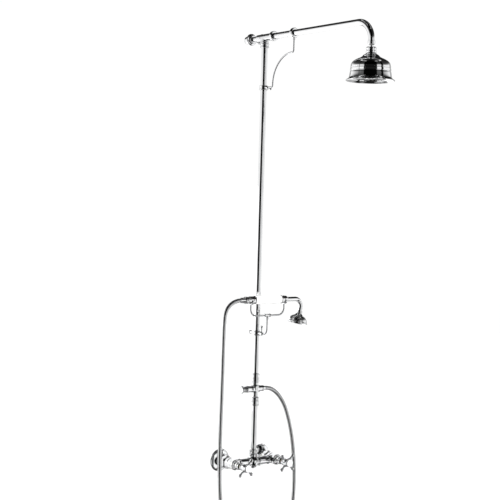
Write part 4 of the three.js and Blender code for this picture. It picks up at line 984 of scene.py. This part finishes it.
def brace_clamp():
    node = "brace_clamp"
    centre = middle("upper_riser")
    centre.z = middle(node).z
    half = (high(node).z - low(node).z) / 2 / MM
    front = (centre.y - low(node).y) / MM
    right = (high(node).x - centre.x) / MM
    band = turned(both_ends([(PIPE_SOCKET, -half), (11.8, -half), (12.8, 0.9 - half),
                             (12.8, 2 - half), (12.1, 2.7 - half)]))
    boss = turned([(0, 0), (4.9, 0), (4.9, 14.5), (4.2, 16), (4.2, front - 0.6), (3.6, front),
                   (0, front)], SMALL_SIDES)
    lug = turned([(0, 0), (4.2, 0), (4.2, right - 0.5), (3.7, right), (0, right)], SMALL_SIDES)
    slit = rod(SCREW_HOLE, -1, right + 2, SMALL_SIDES)
    hole = rod(2.5, 12.8, front + 2, SMALL_SIDES)
    core = rod(PIPE_SOCKET, -half - 1, half + 1)
    stand_for(node, carved(
        [aimed(band, UP, centre), aimed(boss, OUT, centre), aimed(lug, RIGHT, centre)],
        [aimed(core, UP, centre), aimed(hole, OUT, centre), aimed(slit, RIGHT, centre)]))


def top_arm():
    arm_tee()
    turned_piece("stay_tube", OUT, lambda length, radius: both_ends(
        [(0, 0), (radius, 0)], length))
    turned_piece("stay_wall_flange", OUT, lambda length, radius: [
        (12, 0), (radius, 0), (radius, 2.6), (radius - 1, 3.8), (radius - 2.6, 4.2), (12.6, 4.8),
        (11, 6.2), (11, length - 2.6), (11.6, length - 2), (11.6, length - 0.8), (10.6, length),
        (STAY_SOCKET, length), (STAY_SOCKET, 1.5), (12, 1.5)])
    turned_piece("stay_wall_anchor", INWARD, lambda length, radius: [
        (0, 0), (radius, 0),
        *arc(radius, length - radius * 1.1, 0, 90, 14, radius * 1.1)[:-1], (0, length)])
    arm_way = Vector((cos(radians(20)), 0, -sin(radians(20))))
    thumb_screw("stay_thumb_screw", arm_way)
    turned_piece("arm_union_nut", OUT, lambda length, radius: both_ends([
        (PIPE_SOCKET, 0), (radius - 1.6, 0), (radius - 0.4, 0.8), (radius, 2.2)], length))
    turned_piece("arm_stub_pipe", OUT, pipe_profile)
    arm_collar()
    shower_arm()
    brace_rod()
    brace_clamp()
    thumb_screw("brace_thumb_screw", RIGHT)


# ---- overhead rose

def spray_face(node, direction, rings, hole, start=None, size=None):
    """A thin dished plate with rings of drilled holes and a low boss in the middle."""
    if start is None:
        start, length, radius = along(node, direction)
    else:
        length, radius = size
    plate = turned([(0, 0), (radius, 0), (radius, 1.6), (radius - 1.2, 2), (radius * 0.55, 2.3),
                    (radius * 0.22, length - 0.7), (radius * 0.2, length), (0, length)], 96)
    drills = []
    for ring in range(rings + 1):
        count = 6 * ring or 1
        for index in range(count):
            turn = 2 * pi * index / count
            reach = radius * ring / (rings + 0.75)
            drill = rod(hole, -1, length + 1, 16)
            drill.transform(Matrix.Translation(
                Vector((reach * cos(turn), reach * sin(turn), 0)) * MM))
            drills.append(drill)
    shape = carved([plate], [merged(drills)])
    stand_for(node, aimed(shape, direction, start))


def merged(meshes):
    """Several meshes that don't touch, as one."""
    work = bmesh.new()
    for mesh in meshes:
        work.from_mesh(mesh)
    result = bpy.data.meshes.new("merged")
    work.to_mesh(result)
    work.free()
    return result


def rose_profile(length, radius):
    """The bell: a hollow flare, a rounded shoulder, a grooved skirt and a rolled lip."""
    skirt = radius - 8
    outline = [
        (13.2, 0), (14, 0.8), (14.2, 2.2), (16, 3.4), (19, 4.8), (21.4, 7), (23.6, 9.4),
        (27, 11.6),
        (31, 13.5), (36, 15.6), (40.2, 17.9), (44, 20.2), (47.1, 22.8), (49.6, 26), (51, 29.6),
        (51.9, 34), (52.3, 37.2), (51.3, 37.9), (51.3, 39.3), (52.6, 40), (52.9, 45.8),
        (51.9, 46.5),
        (51.9, 47.9), (53.2, 48.6), (53.9, 53), (54.6, 58), (skirt, length - 9),
        (skirt + 1.2, length - 7),
        (skirt + 3.6, length - 5.2), (skirt + 6, length - 3.6), (radius - 0.4, length - 2.4),
        (radius, length - 1.4), (radius - 0.3, length - 0.4), (radius - 1, length)]
    lining = [(skirt - 0.9, length - 5.5), (skirt - 1.6, length - 9), (52.6, 53), (50.2, 34),
              (47.6, 27.4), (42.4, 21), (34, 16.6), (24, 12), (17, 5.6), (12.6, 3), (5, 1.6),
              (5, 0)]
    return outline + lining


def overhead_rose():
    turned_piece("rose_ball_adapter", DOWN, lambda length, radius: [
        (PIPE_SOCKET, 0), (radius - 0.5, 0), (radius, 0.5), (radius, 8), (radius - 0.7, 9.4),
        (radius - 2.6, 11),
        (5.2, 12.4),
        *arc(8, length - 7.4, -51, 119, 18), (3, 6), (PIPE_SOCKET, 6)])
    turned_piece("rose_swivel_nut", DOWN, lambda length, radius: [
        (8.95, 0), (radius - 2.2, 0), (radius - 0.5, 1.2), (radius, 2.6), (radius, 4.6),
        (radius - 0.7, 5.4), (radius - 0.7, 9.6), (radius, 10.4), (radius, length - 1.6),
        (radius - 0.9, length), (8.9, length), (8.9, length - 3.3),
        *arc(10.6, 6, 32, -62, 10)])
    turned_piece("rose_shell", DOWN, rose_profile, 128)
    spray_face("rose_face", DOWN, 5, FACE_HOLE)


# ---- hand shower and cradle

def ferrule_rim(radius):
    return [(6.6, 0), (radius - 0.6, 0), (radius, 0.7), (radius, 2), (radius - 1.2, 3.2)]


def hand_shower():
    turned_piece("handset_hose_nut", RIGHT, lambda length, radius: [
        (4, 0), (7, 0), (7.3, 1), (8.4, length - 5.4), (8.6, length - 4.6),
        (radius - 0.4, length - 3.4),
        (radius, length - 2.6), (radius, length - 0.6), (radius - 0.5, length), (6.65, length),
        (6.65, length - 6.3), (4, length - 6.4)])
    turned_piece("handset_inlet_ferrule", LEFT, lambda length, radius: [
        *ferrule_rim(radius), (11, 4.2), (11, 10),
        (10.5, 11), (11, 12), (11, 18.4), (10.2, 20.4), (9.4, 22.6), (9.2, 24.6), (10.2, 26.4),
        (10.2, length - 6.2), (9.8, length - 6), (6.3, length - 6), (6.3, length - 0.4),
        (6, length),
        (4, length), (4, 6.3), (6.6, 6.3)])
    turned_piece("handset_grip", RIGHT, lambda length, radius: [
        (6.6, 0),
        (10.9, 0), *[(11.3 + (radius - 11.3) * (1 - share * share), length * (1 + share) / 2)
                               for share in [-0.97 + 1.94 * step / 20 for step in range(21)]],
        (10.9, length), (6.6, length)], 72, 0.8)
    turned_piece("handset_outlet_ferrule", RIGHT, lambda length, radius: [
        *ferrule_rim(radius), (11, 4.2), (11, 9),
        (10.5, 10), (11, 11), (11, 18), (10.4, 20), (9, length - 1.2), (8.4, length),
        (7.1, length),
        (7.1, length - 8), (4, length - 8), (4, 6.3), (6.6, 6.3)])
    neck_and_rose()


def neck_and_rose():
    node = "handset_neck"
    start = Vector((low(node).x, middle(node).y, high(node).z - NECK_RADIUS * MM))
    heading = Vector((cos(radians(NECK_ANGLE)), 0, -sin(radians(NECK_ANGLE))))
    turn_radius = NECK_BEND * MM
    bend_start = Vector((high(node).x - NECK_RADIUS * MM - turn_radius, start.y, start.z))
    curve = bend(bend_start, RIGHT, DOWN, turn_radius, NECK_ANGLE, 22)
    end = middle("handset_rose_nut") + heading * MM
    stand_for(node, tube(joined(straight(start, bend_start, 8), curve, straight(curve[-1], end, 2)),
                         NECK_RADIUS, 48, NECK_BORE))
    nut_start = end - heading * (4 * MM)
    stand_for("handset_rose_nut", aimed(turned([
        (7.1, 0), (8.2, 0), (8.8, 0.8), (8.8, 2), (8.3, 2.5), (8.3, 3.6), (8.8, 4.2), (8.8, 5.4),
        (8.3, 6), (7.1, 6)]), heading, nut_start))
    shell_start = end + heading * (2.3 * MM)
    stand_for("handset_rose_shell", aimed(turned([
        (8.3, 0), (8.9, 0.6), (9, 2.4), (10.4, 4), (12.6, 6), (15.8, 7.9), (19.5, 9.6), (22.6, 12),
        (25, 14.8), (26.8, 17.6), (28, 20.8), (28.5, 24), (28.6, 25.4), (29.4, 26.2),
        (30, 27.4), (30, 29.4),
        (29.5, 30), (27.6, 30), (27, 26), (26.4, 20.8), (23.4, 15.6), (18.4, 11), (11.4, 7),
        (7.8, 4), (4, 2), (4, 0)], 96), heading, shell_start))
    spray_face("handset_rose_face", heading, 3, HAND_FACE_HOLE,
               shell_start + heading * (25 * MM), (2.6, 26.9))


def cradle():
    node = "cradle_clamp"
    centre = middle("upper_riser")
    centre.z = middle(node).z
    half = (high(node).z - low(node).z) / 2 / MM
    front, back = (centre.y - low(node).y) / MM, (high(node).y - centre.y) / MM
    band = turned(both_ends([(PIPE_SOCKET, -half), (11.8, -half), (12.8, 0.9 - half),
                             (12.8, 2.2 - half), (12, 3 - half)]))
    lug = turned([(0, -back), (4.6, -back), (5.6, 1 - back), (5.6, 7 - back), (4.9, 9 - back),
                  (4.9, 15),
                  (5.6, 17), (5.6, front - 1), (5, front), (0, front)], SMALL_SIDES)
    cuts = [
        aimed(rod(PIPE_SOCKET, -half - 1, half + 1), UP, centre),
        aimed(rod(2.8, front - 12, front + 1, SMALL_SIDES), OUT, centre),
        aimed(rod(2.4, -10, 10, SMALL_SIDES), RIGHT,
              centre + INWARD * ((back - 5) * MM)),
        aimed(rod(SCREW_HOLE, 0, 10, SMALL_SIDES), UP,
              centre + OUT * ((front - 6) * MM))]
    stand_for(node, carved([aimed(band, UP, centre), aimed(lug, OUT, centre)], cuts))
    thumb_screw("cradle_thumb_screw", UP)
    stem_height = centre.z
    stem = CRADLE_ROD * MM
    start = Vector((centre.x, high("cradle_stem").y, stem_height))
    end = Vector((centre.x, low("cradle_stem").y + stem, high("cradle_stem").z))
    turn_radius = CRADLE_BEND * MM
    bend_start = Vector((centre.x, end.y + turn_radius, stem_height))
    curve = bend(bend_start, OUT, UP, turn_radius)
    stand_for("cradle_stem", tube(joined(straight(start, bend_start), curve,
                                         straight(curve[-1], end, 6)), CRADLE_ROD, ROD_SIDES))
    fork_height = low("cradle_fork").z + stem
    axis = Vector((centre.x, middle("cradle_fork").y, fork_height))
    wide = (high("cradle_knuckle").x - low("cradle_knuckle").x) / 2 / MM
    foot = (fork_height - low("cradle_knuckle").z) / MM
    sleeve = turned(both_ends([
        (0, -wide), (4.2, -wide), (5.2, 1 - wide), (5.2, 2.4 - wide),
        (4.4, 3.4 - wide)]), SMALL_SIDES)
    post = turned([(0, -foot), (3.8, -foot), (4.2, 0.5 - foot), (4.2, -1), (0, -1)], SMALL_SIDES)
    stand_for("cradle_knuckle", carved([aimed(sleeve, RIGHT, axis), aimed(post, UP, axis)], [
        aimed(rod(2.8, -wide - 1, wide + 1, SMALL_SIDES), RIGHT, axis),
        aimed(rod(2.8, -foot - 1, -6.4, SMALL_SIDES), UP, axis)]))
    fork(axis)


def fork(axis):
    """A rod bent up at both ends into open half rings, which the ferrules rest in."""
    node = "cradle_fork"
    grip = middle("handset_grip")
    cup, wall, width = CUP_BORE, CUP_WALL, CUP_WIDTH
    span = (high(node).x - low(node).x) / 2 - width / 2 * MM
    seat = (grip.z - axis.z) / MM - cup - wall / 2
    turn_radius = seat * 0.62 * MM
    right_tip = axis + RIGHT * span + UP * (seat * MM)
    left_tip = axis + LEFT * span + UP * (seat * MM)
    right_bend = bend(axis + RIGHT * span + UP * turn_radius, DOWN, LEFT, turn_radius)
    left_foot = axis + LEFT * (span - turn_radius)
    left_bend = bend(left_foot, LEFT, UP, turn_radius)
    path = joined(straight(right_tip, right_bend[0], 2), right_bend,
                  straight(right_bend[-1], left_foot, 10), left_bend,
                  straight(left_bend[-1], left_tip, 2))
    added = [tube(path, CRADLE_ROD, ROD_SIDES)]
    removed = []
    for side in (LEFT, RIGHT):
        at = Vector((axis.x, axis.y, grip.z)) + side * span
        ring = both_ends([(cup, -width / 2), (cup + wall, -width / 2)])
        added.append(aimed(turned(ring, edge=0.7), RIGHT, at))
        removed.append(aimed(rod(cup, -5, 5), RIGHT, at))
    above = bpy.data.meshes.new("above")
    work = bmesh.new()
    bmesh.ops.create_cube(work, size=1.0)
    bmesh.ops.scale(work, vec=(0.24, 0.05, 0.03), verts=work.verts)
    bmesh.ops.translate(work, vec=(axis.x, axis.y, grip.z + 0.015), verts=work.verts)
    work.to_mesh(above)
    work.free()
    stand_for(node, carved(added, [above, *removed]))


inlets_and_taps()
valve_body()
riser_and_diverter()
top_arm()
overhead_rose()
hand_shower()
cradle()

for node in ("left_cartridge", "right_cartridge", "diverter_plug", "handset_core_tube",
             "rose_ball_seat"):
    kept = frame["nodes"][node].data
    kept.materials.clear()
    kept.materials.append(SPECIAL_FINISH.get(node, FINISHES[SLOT_OF[node]]))

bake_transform(hose)
